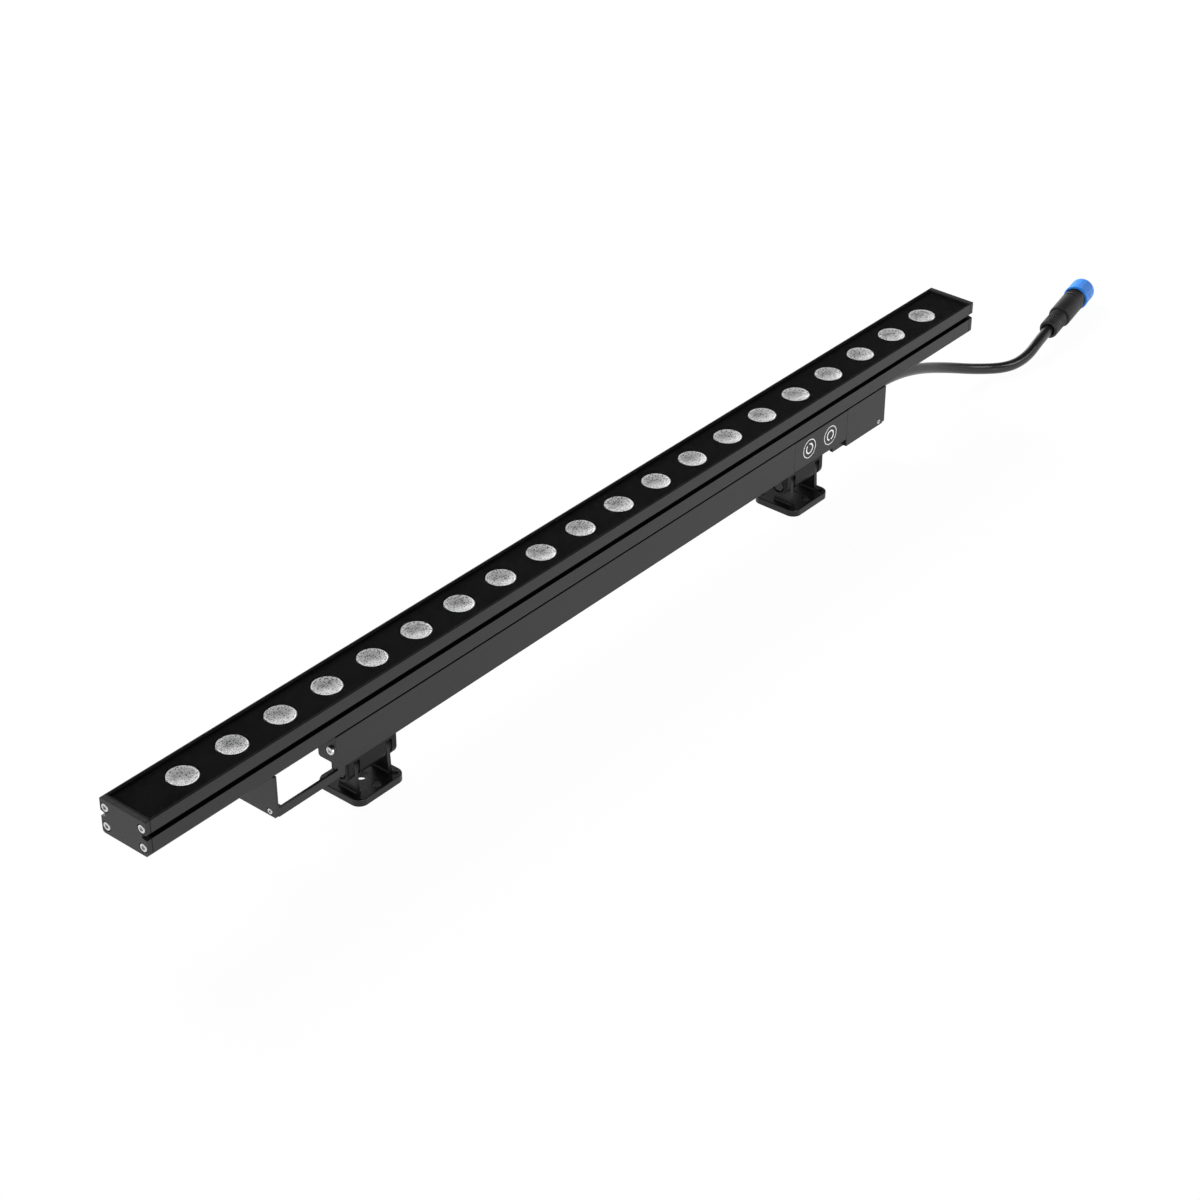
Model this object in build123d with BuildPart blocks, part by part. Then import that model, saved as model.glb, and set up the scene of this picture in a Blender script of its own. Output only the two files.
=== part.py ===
"""Wall washer light: a metre-long lamp bar on a wiring channel, tilting on two brackets.

Millimetres. X runs along the bar, Y across it with the front at -Y, Z up.
The origin is on the floor under the middle of the bar.
"""
from build123d import *
from math import cos, pi, radians, sin, tan
import os

os.makedirs("parts", exist_ok=True)

# Standing on a level or hanging from it, for solids and for flat shapes
STAND = (Align.CENTER, Align.CENTER, Align.MIN)
HANG = (Align.CENTER, Align.CENTER, Align.MAX)
STAND_FLAT = (Align.CENTER, Align.MIN)
HANG_FLAT = (Align.CENTER, Align.MAX)

# Main sizes
bar_length = 1000.0
bar_width = 46.0
lamp_height = 29.5
channel_height = 29.0
stand_height = 37.5

# Lamp section
cap_thickness = 4.0
gasket_thickness = 1.0
lower_edge_radius = 2.5
upper_edge_radius = 0.6
groove_drop = 13.0
groove_mouth = 4.8
groove_floor = 2.6
groove_depth = 4.5
glass_lip = 0.8
glass_thickness = 2.0
seal_width = 0.8
lens_frame_thickness = 1.5
tray_width = 31.0
tray_depth = 13.5
lamp_web = 3.5
duct_width = 40.0
duct_floor = 2.5
duct_rib_width = 2.0
duct_rib_height = 1.5
duct_rib_distance = 24.0

# Lenses, lamps and boards
lens_count = 20
first_lens_from_end = 55.5
last_lens_from_end = 47.7
window_radius = 12.6
window_clearance = 0.35
lens_flange_radius = 14.2
lens_flange_thickness = 1.7
lens_rise = 1.3
lens_rim = 0.6
lens_dish = 2.4
lens_foot_radius = 6.0
lens_pocket_radius = 4.0
lens_pocket_height = 3.0
board_width = 30.0
board_thickness = 1.6
board_gap = 2.0
board_end_gap = 1.0
chip_size = 3.6
chip_thickness = 0.8
chip_dome_radius = 1.4
jumper_length = 10.0
jumper_width = 6.0
jumper_thickness = 1.0
jumper_y = 10.0

# Driver in the lamp's duct
driver_from_end = 200.0
driver_length = 200.0
driver_width = 29.0
terminal_length = 10.0
terminal_width = 12.0
terminal_height = 5.0
coil_length = 15.0
coil_pitch = 40.0
coil_count = 2
coils_from_end = 60.0
capacitor_radius = 2.5
capacitor_pitch = 20.0
capacitor_distance = 20.0
capacitor_count = 3
capacitors_from_end = 30.0
feed_from_end = 40.0
wire_radius = 0.8
wire_spacing = 2.0
wire_bend_radius = 3.0
feed_hole_radius = 3.0

# Screws: radius of shank and head, height of head
cap_screw = (2.0, 3.7, 2.2)
cap_screw_length = 12.0
cap_screw_y = 18.5
cap_screw_upper_drop = 7.0
cap_screw_lower_drop = 23.0
channel_screw = (2.0, 3.6, 2.4)
channel_screw_left_inset = 96.5
channel_screw_right_inset = 130.0
channel_screw_y = 9.0
bulkhead_screw = (1.5, 3.0, 2.0)
left_bulkhead_head = 3.7
bulkhead_screw_length = 10.0
bulkhead_screw_drop = 13.1
plate_screw = (1.5, 2.6, 1.8)
plate_screw_y = 9.0
rail_screw_length = 5.0
cover_screw = (1.25, 2.2, 1.4)
cover_screw_length = 4.6
boss_wall = 1.4
screw_clearance = 0.05
head_clearance = 0.4
socket_share = 0.5
socket_depth_share = 0.6

# Wiring channel
end_from_left = 118.0
end_from_right = 133.0
left_compartment = 65.5
right_compartment = 57.0
channel_wall = 2.5
channel_web = 3.0
bulkhead_thickness = 2.5
bulkhead_leg = 5.5
bulkhead_foot = 4.5
bulkhead_notch_width = 7.0
bulkhead_notch_height = 12.0
bulkhead_corner = 2.5
bulkhead_inset = 0.1
end_plate_thickness = 3.0
end_plate_corner = 1.5
flange_length = 14.0
flange_width = 30.0
rail_height = 7.0
rail_left_depth = 2.5
rail_boss_depth = 9.5
rail_boss_length = 4.5
rail_screw_inset = 6.5
rail_tongue_left = 5.0
rail_tongue_right = 16.0
rail_tongue_inset = 3.0
rail_tongue_depth = 3.0
rail_left_overlap = 2.0
clip_length = 5.0
clip_height = 3.0
clip_thickness = 1.2
clip_from_end = 48.0
service_length = 76.0
service_cover_thickness = 1.5
service_frame = 6.0
service_frame_end = 12.0
panel_gap = 0.3
screw_block_length = 8.0
junction_cover_thickness = 2.5
cover_tab_length = 10.0
cover_screw_from_end = 5.0
cover_screw_rise = 3.2

# Hinge blocks and brackets
left_bracket_inset = 33.5
right_bracket_inset = 60.0
pivot_inset = 9.0
pivot_drop = 11.0
block_length = 52.0
block_neck_width = 28.8
block_edge_radius = 1.5
ear_distance = 34.0
ear_thickness = 3.5
ear_head_radius = 8.0
ear_foot_half = 9.0
ear_root_radius = 2.0
slot_side = 1.6
slot_top_clearance = 0.8
washer_thickness = 1.1
washer_radius = 8.0
bolt_radius = 3.0
bolt_clearance = 0.05
bolt_running_clearance = 0.08
bolt_head_radius = 5.4
bolt_head_height = 3.0
nut_height = 3.0
bolt_recess = 3.4
bolt_recess_radius = 6.2
hinge_screw_x = 8.0
hinge_screw_y = 9.0
hinge_screw_seat = 18.5
hinge_screw_head_radius = 3.6
base_length = 50.0
base_depth = 46.0
base_setback = 5.0
base_thickness = 6.0
base_corner = 8.0
base_edge_radius = 0.8
fixing_hole_radius = 3.75
fixing_hole_y = 16.5
pilot_hole_radius = 2.25
pilot_hole_x = 18.5
pilot_hole_y = 17.5
centre_hole_radius = 5.2

# Supply lead
lead_drop = 14.5
gland_radius = 8.0
gland_length = 10.0
gland_recess = 4.0
gland_shank_radius = 6.0
gland_shank_length = 9.0
gland_nut_thickness = 4.0
gland_edge_radius = 1.5
cord_radius = 5.0
cord_clearance = 0.6
cord_end_run = 28.0
cord_bend_share = 0.45
cord_route = ((85, 4, 39), (130, 3, 22), (169, -11, 8.5), (196, -28, 5), (223, -31, 6))
inner_lead_radius = 3.0
inner_lead_from_end = 32.0
inner_lead_bend = 11.0
inner_lead_end_rise = 1.0
grommet_radius = 5.0
grommet_flange_radius = 7.0
grommet_flange = 1.5

# Connector on the floor
connector_from_end = 272.0
connector_y = -22.5
connector_turn = 12.0
nut_radius = 9.0
nut_length = 16.0
nut_recess = 5.0
nut_edge_radius = 2.0
neck_radius = 8.4
neck_length = 14.0
neck_ring_height = 0.5
neck_ring_width = 1.6
neck_ring_pitch = 3.6
neck_rings = 3
body_radius = 10.7
body_length = 40.0
body_edge_radius = 1.2
thread_radius = 9.6
thread_length = 24.0
thread_shown = 5.0
socket_radius = 7.0
socket_depth = 12.0
pin_radius = 0.9
pin_ring_radius = 3.6
pin_length = 9.0
pin_count = 4
cap_outer_radius = 12.0
cap_length = 22.0
cap_wall_end = 2.2
cap_fit = 0.35
cap_edge_radius = 1.5

# Levels and places that follow from the sizes above
channel_bottom = stand_height
lamp_bottom = channel_bottom + channel_height
lamp_top = lamp_bottom + lamp_height
web_under = lamp_bottom - channel_web
lead_height = lamp_bottom - lead_drop
bar_left = -bar_length / 2
bar_right = bar_length / 2
end_left = bar_left + end_from_left
end_right = bar_right - end_from_right
channel_left = end_left + left_compartment
channel_right = end_right - right_compartment
bracket_x = (channel_left + left_bracket_inset, channel_right - right_bracket_inset)
service_left = channel_right - service_length
inner_lead_x = end_right - inner_lead_from_end
connector_x = end_right + connector_from_end
driver_right_end = bar_right - driver_from_end
channel_screw_first = channel_left + channel_screw_left_inset
channel_screw_last = channel_right - channel_screw_right_inset
channel_screw_x = (channel_screw_first, (channel_screw_first + channel_screw_last) / 2, channel_screw_last)
housing_length = bar_length - 2 * (cap_thickness + gasket_thickness)
housing_left = -housing_length / 2
rebate_width = bar_width - 2 * glass_lip
rebate_depth = glass_thickness + lens_frame_thickness
tray_floor = lamp_top - tray_depth
board_top = tray_floor + board_thickness
duct_bottom = lamp_bottom + duct_floor
duct_height = lamp_height - tray_depth - lamp_web - duct_floor
lens_seat = lamp_top - rebate_depth
lens_pitch = (bar_length - first_lens_from_end - last_lens_from_end) / (lens_count - 1)
lens_x = [bar_left + first_lens_from_end + lens_pitch * index for index in range(lens_count)]
board_split = (lens_x[lens_count // 2 - 1] + lens_x[lens_count // 2]) / 2
driver_bottom = duct_bottom + duct_rib_height
driver_top = driver_bottom + board_thickness
driver_left_end = driver_right_end - driver_length
driver_centre_x = (driver_left_end + driver_right_end) / 2
feed_x = min(
    ((a + b) / 2 for a, b in zip(lens_x, lens_x[1:])),
    key=lambda x: abs(x - driver_left_end - feed_from_end),
)
half_width = bar_width / 2
inner_half = half_width - channel_wall
channel_mid_z = channel_bottom + channel_height / 2
service_mid_x = service_left + service_length / 2
bulkhead_screw_y = inner_half - bulkhead_inset - bulkhead_screw[1]
boss_radius = bulkhead_screw[0] + boss_wall
boss_inner = bulkhead_screw_y - boss_radius
bulkhead_screw_z = lamp_bottom - bulkhead_screw_drop
rail_bottom = channel_bottom - rail_height
rail_screw_y = half_width - rail_screw_inset
rail_screw_z = channel_bottom - rail_height / 2
bulkhead_left_face = channel_left - bulkhead_thickness
cover_screw_x = end_right - end_plate_thickness - cover_screw_from_end
cover_screw_z = rail_bottom + cover_screw_rise
pivot_y = pivot_inset - half_width
pivot_height = channel_bottom - pivot_drop
base_y = pivot_y + base_setback
hinge_seat_z = channel_bottom + hinge_screw_seat
lamp_screw_tip = duct_bottom - screw_clearance
cap_screw_z = (lamp_top - cap_screw_upper_drop, lamp_top - cap_screw_lower_drop)


def keep(piece, name):
    """Labels a finished piece and writes it."""
    piece.part.label = name
    export_step(piece.part, f"parts/{name}.step")


def along(x, y, z, direction):
    """A plane at a point whose normal is the given direction."""
    return Plane(origin=(x, y, z), z_dir=direction)


def socket_screw(size, length):
    """A round-headed socket screw: shank up from the origin, head below it."""
    shank, head, height = size
    with BuildPart() as screw:
        Cylinder(shank, length, align=STAND)
        Cylinder(head, height, align=HANG)
        chamfer(screw.edges().sort_by(Axis.Z)[0], height / 4)
        with BuildSketch(Plane.XY.offset(-height)):
            RegularPolygon(head * socket_share, 6)
        extrude(amount=height * socket_depth_share, mode=Mode.SUBTRACT)
    return screw.part


def group(name, solid, places):
    """One node that holds the same solid at several places."""
    with BuildPart() as copies:
        with Locations(*places):
            add(solid)
    keep(copies, name)


# Outer section of the lamp, shared by housing, gaskets and caps
with BuildSketch(Plane.YZ) as lamp_section:
    with Locations((0, lamp_bottom + lamp_height / 2)):
        Rectangle(bar_width, lamp_height)
    fillet(lamp_section.vertices().group_by(Axis.Y)[0], lower_edge_radius)
    fillet(lamp_section.vertices().group_by(Axis.Y)[-1], upper_edge_radius)
    for side in (-1, 1):
        Polygon(
            (side * half_width, lamp_top - groove_drop + groove_mouth / 2),
            (side * (half_width - groove_depth), lamp_top - groove_drop + groove_floor / 2),
            (side * (half_width - groove_depth), lamp_top - groove_drop - groove_floor / 2),
            (side * half_width, lamp_top - groove_drop - groove_mouth / 2),
            align=None,
            mode=Mode.SUBTRACT,
        )

# Hollows of the lamp section: glass rebate, lamp tray and wire duct
with BuildSketch(Plane.YZ) as lamp_hollows:
    with Locations((0, lamp_top)):
        Rectangle(rebate_width, rebate_depth, align=HANG_FLAT)
        Rectangle(tray_width, tray_depth, align=HANG_FLAT)
    with Locations((0, duct_bottom)):
        Rectangle(duct_width, duct_height, align=STAND_FLAT)
    with Locations(*[(side * duct_rib_distance / 2, duct_bottom) for side in (-1, 1)]):
        Rectangle(duct_rib_width, duct_rib_height, align=STAND_FLAT, mode=Mode.SUBTRACT)
    with Locations(*[(side * cap_screw_y, cap_screw_z[1]) for side in (-1, 1)]):
        Circle(cap_screw[0] + boss_wall, mode=Mode.SUBTRACT)

cap_screw_points = [(side * cap_screw_y, z) for side in (-1, 1) for z in cap_screw_z]
lamp_screw_points = [(x, side * channel_screw_y) for x in channel_screw_x for side in (-1, 1)]
hinge_screw_points = [(x + side * hinge_screw_x, hinge_screw_y) for x in bracket_x for side in (-1, 1)]
flange_screw_x = (
    end_left + end_plate_thickness + flange_length / 2,
    end_right - end_plate_thickness - flange_length / 2,
)
flange_screw_points = [(x, side * plate_screw_y) for x in flange_screw_x for side in (-1, 1)]

# Lamp housing
with BuildPart() as lamp_housing:
    with BuildSketch(Plane.YZ.offset(housing_left)):
        add(lamp_section.sketch_local)
        add(lamp_hollows.sketch_local, mode=Mode.SUBTRACT)
        with Locations(*cap_screw_points):
            Circle(cap_screw[0] + screw_clearance, mode=Mode.SUBTRACT)
    extrude(amount=housing_length)
    with BuildSketch(Plane.XY.offset(lamp_bottom)):
        with Locations(*lamp_screw_points, *hinge_screw_points):
            Circle(channel_screw[0] + screw_clearance)
        with Locations(*flange_screw_points):
            Circle(plate_screw[0] + screw_clearance)
        with Locations((inner_lead_x, 0)):
            Circle(grommet_radius)
    extrude(amount=duct_floor, mode=Mode.SUBTRACT)
    with Locations((feed_x, 0, tray_floor)):
        Cylinder(feed_hole_radius, 2 * lamp_web, mode=Mode.SUBTRACT)
keep(lamp_housing, "lamp_housing")

# Glass pane, its silicone bead and the black strip that frames the lenses
with BuildPart() as front_glass:
    with BuildSketch(Plane.XY.offset(lamp_top - glass_thickness)):
        Rectangle(housing_length - 2 * seal_width, rebate_width - 2 * seal_width)
    extrude(amount=glass_thickness)
keep(front_glass, "front_glass")

with BuildPart() as glass_seal:
    with BuildSketch(Plane.XY.offset(lamp_top - glass_thickness)):
        Rectangle(housing_length, rebate_width)
        Rectangle(housing_length - 2 * seal_width, rebate_width - 2 * seal_width, mode=Mode.SUBTRACT)
    extrude(amount=glass_thickness)
keep(glass_seal, "glass_seal")

with BuildPart() as lens_frame:
    with BuildSketch(Plane.XY.offset(lens_seat)):
        Rectangle(housing_length, rebate_width)
        with Locations(*[(x, 0) for x in lens_x]):
            Circle(window_radius, mode=Mode.SUBTRACT)
    extrude(amount=lens_frame_thickness)
keep(lens_frame, "lens_frame")

# One lens: a flared collimator with a flange, a rimmed dished face and a pocket for the lamp
lens_height = lens_seat - board_top
lens_face_radius = window_radius - window_clearance
lens_top = lens_height + lens_rise
dish_radius = lens_face_radius - lens_rim
with BuildPart() as lens:
    with BuildSketch(Plane.XZ):
        with BuildLine():
            Polyline(
                (0, lens_pocket_height),
                (lens_pocket_radius, lens_pocket_height),
                (lens_pocket_radius, 0),
                (lens_foot_radius, 0),
                (lens_flange_radius - lens_flange_thickness / 2, lens_height - lens_flange_thickness),
                (lens_flange_radius, lens_height - lens_flange_thickness),
                (lens_flange_radius, lens_height),
                (lens_face_radius, lens_height),
                (lens_face_radius, lens_top),
                (dish_radius, lens_top),
            )
            TangentArc((0, lens_top - lens_dish), (dish_radius, lens_top), tangent=(1, 0))
            Line((0, lens_top - lens_dish), (0, lens_pocket_height))
        make_face()
    revolve(axis=Axis.Z)
group("lenses", lens.part, [(x, 0, board_top) for x in lens_x])

with BuildPart() as chip:
    Box(chip_size, chip_size, chip_thickness, align=STAND)
    with Locations((0, 0, chip_thickness)):
        Cylinder(chip_dome_radius, chip_dome_radius / 2, align=STAND)
group("led_chips", chip.part, [(x, 0, board_top) for x in lens_x])

# Lamp boards, one for each half of the row, and the jumper across their joint
board_spans = {
    "led_board_left": (housing_left + board_end_gap, board_split - board_gap / 2),
    "led_board_right": (board_split + board_gap / 2, -housing_left - board_end_gap),
}
for board_name, (start, stop) in board_spans.items():
    with BuildPart() as led_board:
        with BuildSketch(Plane.XY.offset(tray_floor)):
            with Locations(((start + stop) / 2, 0)):
                Rectangle(stop - start, board_width)
            with Locations((feed_x, 0)):
                Circle(feed_hole_radius, mode=Mode.SUBTRACT)
        extrude(amount=board_thickness)
    keep(led_board, board_name)

with BuildPart() as board_jumper:
    with Locations((board_split, jumper_y, board_top)):
        Box(jumper_length, jumper_width, jumper_thickness, align=STAND)
keep(board_jumper, "board_jumper")

# Driver board on the duct's ribs, with its parts
with BuildPart() as driver_board:
    with Locations((driver_centre_x, 0, driver_bottom)):
        Box(driver_length, driver_width, board_thickness, align=STAND)
keep(driver_board, "driver_board")

with BuildPart() as driver_parts:
    with Locations((driver_right_end - terminal_length / 2, 0, driver_top)):
        Box(terminal_length, terminal_width, terminal_height, align=STAND)
    with Locations((driver_right_end - coils_from_end, 0, driver_top)):
        with GridLocations(coil_pitch, 0, coil_count, 1):
            Box(coil_length, terminal_width, terminal_height, align=STAND)
    with Locations((driver_left_end + capacitors_from_end, 0, driver_top)):
        with GridLocations(capacitor_pitch, capacitor_distance, capacitor_count, 2):
            Cylinder(capacitor_radius, terminal_height, align=STAND)
keep(driver_parts, "driver_parts")


def wire(points, radius, bend):
    """A round wire along straight runs joined by equal bends."""
    with BuildPart() as bent:
        with BuildLine() as path:
            if len(points) > 2:
                FilletPolyline(*points, radius=bend)
            else:
                Line(*points)
        with BuildSketch(Plane(origin=path.line @ 0, z_dir=path.line % 0)):
            Circle(radius)
        sweep(path=path.line)
    return bent.part


# Wires: from the sheathed lead to the terminals, and from the driver up to the lamp board
lead_top = duct_bottom + inner_lead_end_rise
terminal_z = driver_top + terminal_height / 2
with BuildPart() as lead_wires:
    for index in (-1, 0, 1):
        add(wire(
            [
                (inner_lead_x, index * wire_spacing, lead_top),
                (inner_lead_x, index * wire_spacing, terminal_z),
                (driver_right_end, index * wire_spacing, terminal_z),
            ],
            wire_radius,
            wire_bend_radius,
        ))
keep(lead_wires, "lead_wires")

with BuildPart() as led_feed_wires:
    with Locations(*[(feed_x, side * wire_spacing / 2, driver_top) for side in (-1, 1)]):
        Cylinder(wire_radius, board_top - driver_top, align=STAND)
keep(led_feed_wires, "led_feed_wires")

# End caps with sunk screws, and the gaskets behind them
cap_faces = {"left": bar_left, "right": -bar_left - cap_thickness}
gasket_faces = {"left": bar_left + cap_thickness, "right": -housing_left}
for side_name, inward in (("left", 1), ("right", -1)):
    outer_face = -inward * bar_length / 2
    with BuildPart() as end_cap:
        with BuildSketch(Plane.YZ.offset(cap_faces[side_name])):
            add(lamp_section.sketch_local)
            with Locations(*cap_screw_points):
                Circle(cap_screw[0] + screw_clearance, mode=Mode.SUBTRACT)
        extrude(amount=cap_thickness)
        with BuildSketch(Plane.YZ.offset(outer_face)):
            with Locations(*cap_screw_points):
                Circle(cap_screw[1] + head_clearance)
        extrude(amount=inward * cap_screw[2], mode=Mode.SUBTRACT)
    keep(end_cap, f"end_cap_{side_name}")

    with BuildPart() as end_gasket:
        with BuildSketch(Plane.YZ.offset(gasket_faces[side_name])):
            add(lamp_section.sketch_local)
            with Locations((0, lamp_top - rebate_depth)):
                Rectangle(tray_width, tray_depth - rebate_depth, align=HANG_FLAT, mode=Mode.SUBTRACT)
            with Locations((0, duct_bottom)):
                Rectangle(tray_width, duct_height, align=STAND_FLAT, mode=Mode.SUBTRACT)
            with Locations(*cap_screw_points):
                Circle(cap_screw[0] + screw_clearance, mode=Mode.SUBTRACT)
        extrude(amount=gasket_thickness)
    keep(end_gasket, f"end_gasket_{side_name}")

    seat = outer_face + inward * cap_screw[2]
    group(
        f"cap_screws_{side_name}",
        socket_screw(cap_screw, cap_screw_length),
        [along(seat, y, z, (inward, 0, 0)) for y, z in cap_screw_points],
    )

# Wiring channel, an inverted U: a web under the lamp and two side walls
channel_length = channel_right - channel_left
with BuildPart() as channel_top:
    with BuildSketch(Plane.YZ.offset(channel_left)):
        with Locations((0, lamp_bottom)):
            Rectangle(2 * inner_half, channel_web, align=HANG_FLAT)
    extrude(amount=channel_length)
    with BuildSketch(Plane.XY.offset(web_under)):
        with Locations(*lamp_screw_points, *hinge_screw_points):
            Circle(channel_screw[0] + screw_clearance)
    extrude(amount=channel_web, mode=Mode.SUBTRACT)
keep(channel_top, "channel_top")

for edge_name, edge in (("front", -1), ("back", 1)):
    with BuildPart() as channel_side:
        with BuildSketch(Plane.YZ.offset(channel_left)):
            with Locations((edge * (half_width - channel_wall / 2), channel_mid_z)):
                Rectangle(channel_wall, channel_height)
        extrude(amount=channel_length)
        if edge_name == "front":
            with BuildSketch(Plane.XZ.offset(half_width)):
                with Locations((service_mid_x, channel_mid_z)):
                    Rectangle(service_length, channel_height)
            extrude(amount=-service_cover_thickness, mode=Mode.SUBTRACT)
            with BuildSketch(Plane.XZ.offset(half_width)):
                with Locations((service_mid_x, channel_mid_z)):
                    Rectangle(service_length - 2 * service_frame_end, channel_height - 2 * service_frame)
            extrude(amount=-channel_wall, mode=Mode.SUBTRACT)
    keep(channel_side, f"channel_{edge_name}")

# Screw blocks on the walls' ends, which take the bulkheads' screws
block_starts = (channel_left, channel_right - bulkhead_thickness - screw_block_length)
with BuildPart() as channel_blocks:
    for start in block_starts:
        with BuildSketch(Plane.YZ.offset(start)):
            boss_middle = (bulkhead_screw_y + inner_half) / 2
            with Locations(*[(side * boss_middle, bulkhead_screw_z) for side in (-1, 1)]):
                Rectangle(inner_half - bulkhead_screw_y, 2 * boss_radius)
            with Locations(*[(side * bulkhead_screw_y, bulkhead_screw_z) for side in (-1, 1)]):
                Circle(boss_radius)
                Circle(bulkhead_screw[0] + screw_clearance, mode=Mode.SUBTRACT)
        extrude(amount=screw_block_length)
keep(channel_blocks, "channel_blocks")

group(
    "channel_screws",
    socket_screw(channel_screw, lamp_screw_tip - web_under),
    [(x, y, web_under) for x, y in lamp_screw_points],
)

with BuildPart() as service_cover:
    with BuildSketch(Plane.XZ.offset(half_width)):
        with Locations((service_mid_x, channel_mid_z)):
            Rectangle(service_length - 2 * panel_gap, channel_height - 2 * panel_gap)
    extrude(amount=-service_cover_thickness)
keep(service_cover, "service_cover")

# Bulkheads across the channel's ends, arched below for the wires
bulkheads = {
    "left": (bulkhead_left_face, bar_width, lamp_bottom),
    "right": (channel_right - bulkhead_thickness, 2 * (inner_half - bulkhead_inset), web_under),
}
for side_name, (face, width, top) in bulkheads.items():
    with BuildPart() as bulkhead:
        with BuildSketch(Plane.YZ.offset(face)) as arch:
            with Locations((0, channel_bottom)):
                Rectangle(width, top - channel_bottom, align=STAND_FLAT)
                Rectangle(bar_width - 2 * bulkhead_leg, bulkhead_foot, align=STAND_FLAT, mode=Mode.SUBTRACT)
            with Locations((0, channel_bottom + bulkhead_foot)):
                Rectangle(bulkhead_notch_width, bulkhead_notch_height, align=STAND_FLAT, mode=Mode.SUBTRACT)
            levels = arch.vertices().group_by(Axis.Y)
            fillet(levels[1] + levels[2], bulkhead_corner)
            with Locations(*[(side * bulkhead_screw_y, bulkhead_screw_z) for side in (-1, 1)]):
                Circle(bulkhead_screw[0] + screw_clearance, mode=Mode.SUBTRACT)
        extrude(amount=bulkhead_thickness)
    keep(bulkhead, f"bulkhead_{side_name}")

left_bulkhead_screw = (bulkhead_screw[0], left_bulkhead_head, bulkhead_screw[2])
left_screw = socket_screw(left_bulkhead_screw, bulkhead_screw_length)
right_screw = socket_screw(bulkhead_screw, bulkhead_screw_length)
with BuildPart() as bulkhead_screws:
    for side in (-1, 1):
        with Locations(along(bulkhead_left_face, side * bulkhead_screw_y, bulkhead_screw_z, (1, 0, 0))):
            add(left_screw)
        with Locations(along(channel_right, side * bulkhead_screw_y, bulkhead_screw_z, (-1, 0, 0))):
            add(right_screw)
keep(bulkhead_screws, "bulkhead_screws")

# End plates with a flange under the lamp; the right one carries the cable gland
rail_screw_points = [(side * rail_screw_y, rail_screw_z) for side in (-1, 1)]
for side_name, outer, inward in (("left", end_left, 1), ("right", end_right, -1)):
    with BuildPart() as end_plate:
        with BuildSketch(Plane.YZ.offset(outer)) as plate:
            with Locations((0, rail_bottom)):
                Rectangle(bar_width, lamp_bottom - rail_bottom, align=STAND_FLAT)
            fillet(plate.vertices().group_by(Axis.Y)[0], end_plate_corner)
            with Locations(*rail_screw_points):
                Circle(plate_screw[0] + screw_clearance, mode=Mode.SUBTRACT)
            if side_name == "right":
                with Locations((0, lead_height)):
                    Circle(gland_shank_radius + screw_clearance, mode=Mode.SUBTRACT)
        extrude(amount=inward * end_plate_thickness)
        with BuildSketch(Plane.YZ.offset(outer)):
            with Locations(*rail_screw_points):
                Circle(plate_screw[1] + head_clearance)
        extrude(amount=inward * plate_screw[2], mode=Mode.SUBTRACT)
        with BuildSketch(Plane.YZ.offset(outer + inward * end_plate_thickness)):
            with Locations((0, lamp_bottom)):
                Rectangle(flange_width, end_plate_thickness, align=HANG_FLAT)
        extrude(amount=inward * flange_length)
        with BuildSketch(Plane.XY.offset(lamp_bottom)):
            with Locations(*flange_screw_points):
                Circle(plate_screw[0] + screw_clearance)
        extrude(amount=-end_plate_thickness, mode=Mode.SUBTRACT)
    keep(end_plate, f"end_plate_{side_name}")

group(
    "end_plate_screws",
    socket_screw(plate_screw, lamp_screw_tip - lamp_bottom + end_plate_thickness),
    [(x, y, lamp_bottom - end_plate_thickness) for x, y in flange_screw_points],
)
rail_seats = ((end_left + plate_screw[2], 1), (end_right - plate_screw[2], -1))
group(
    "rail_screws",
    socket_screw(plate_screw, rail_screw_length),
    [along(x, y, z, (inward, 0, 0)) for x, inward in rail_seats for y, z in rail_screw_points],
)

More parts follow.
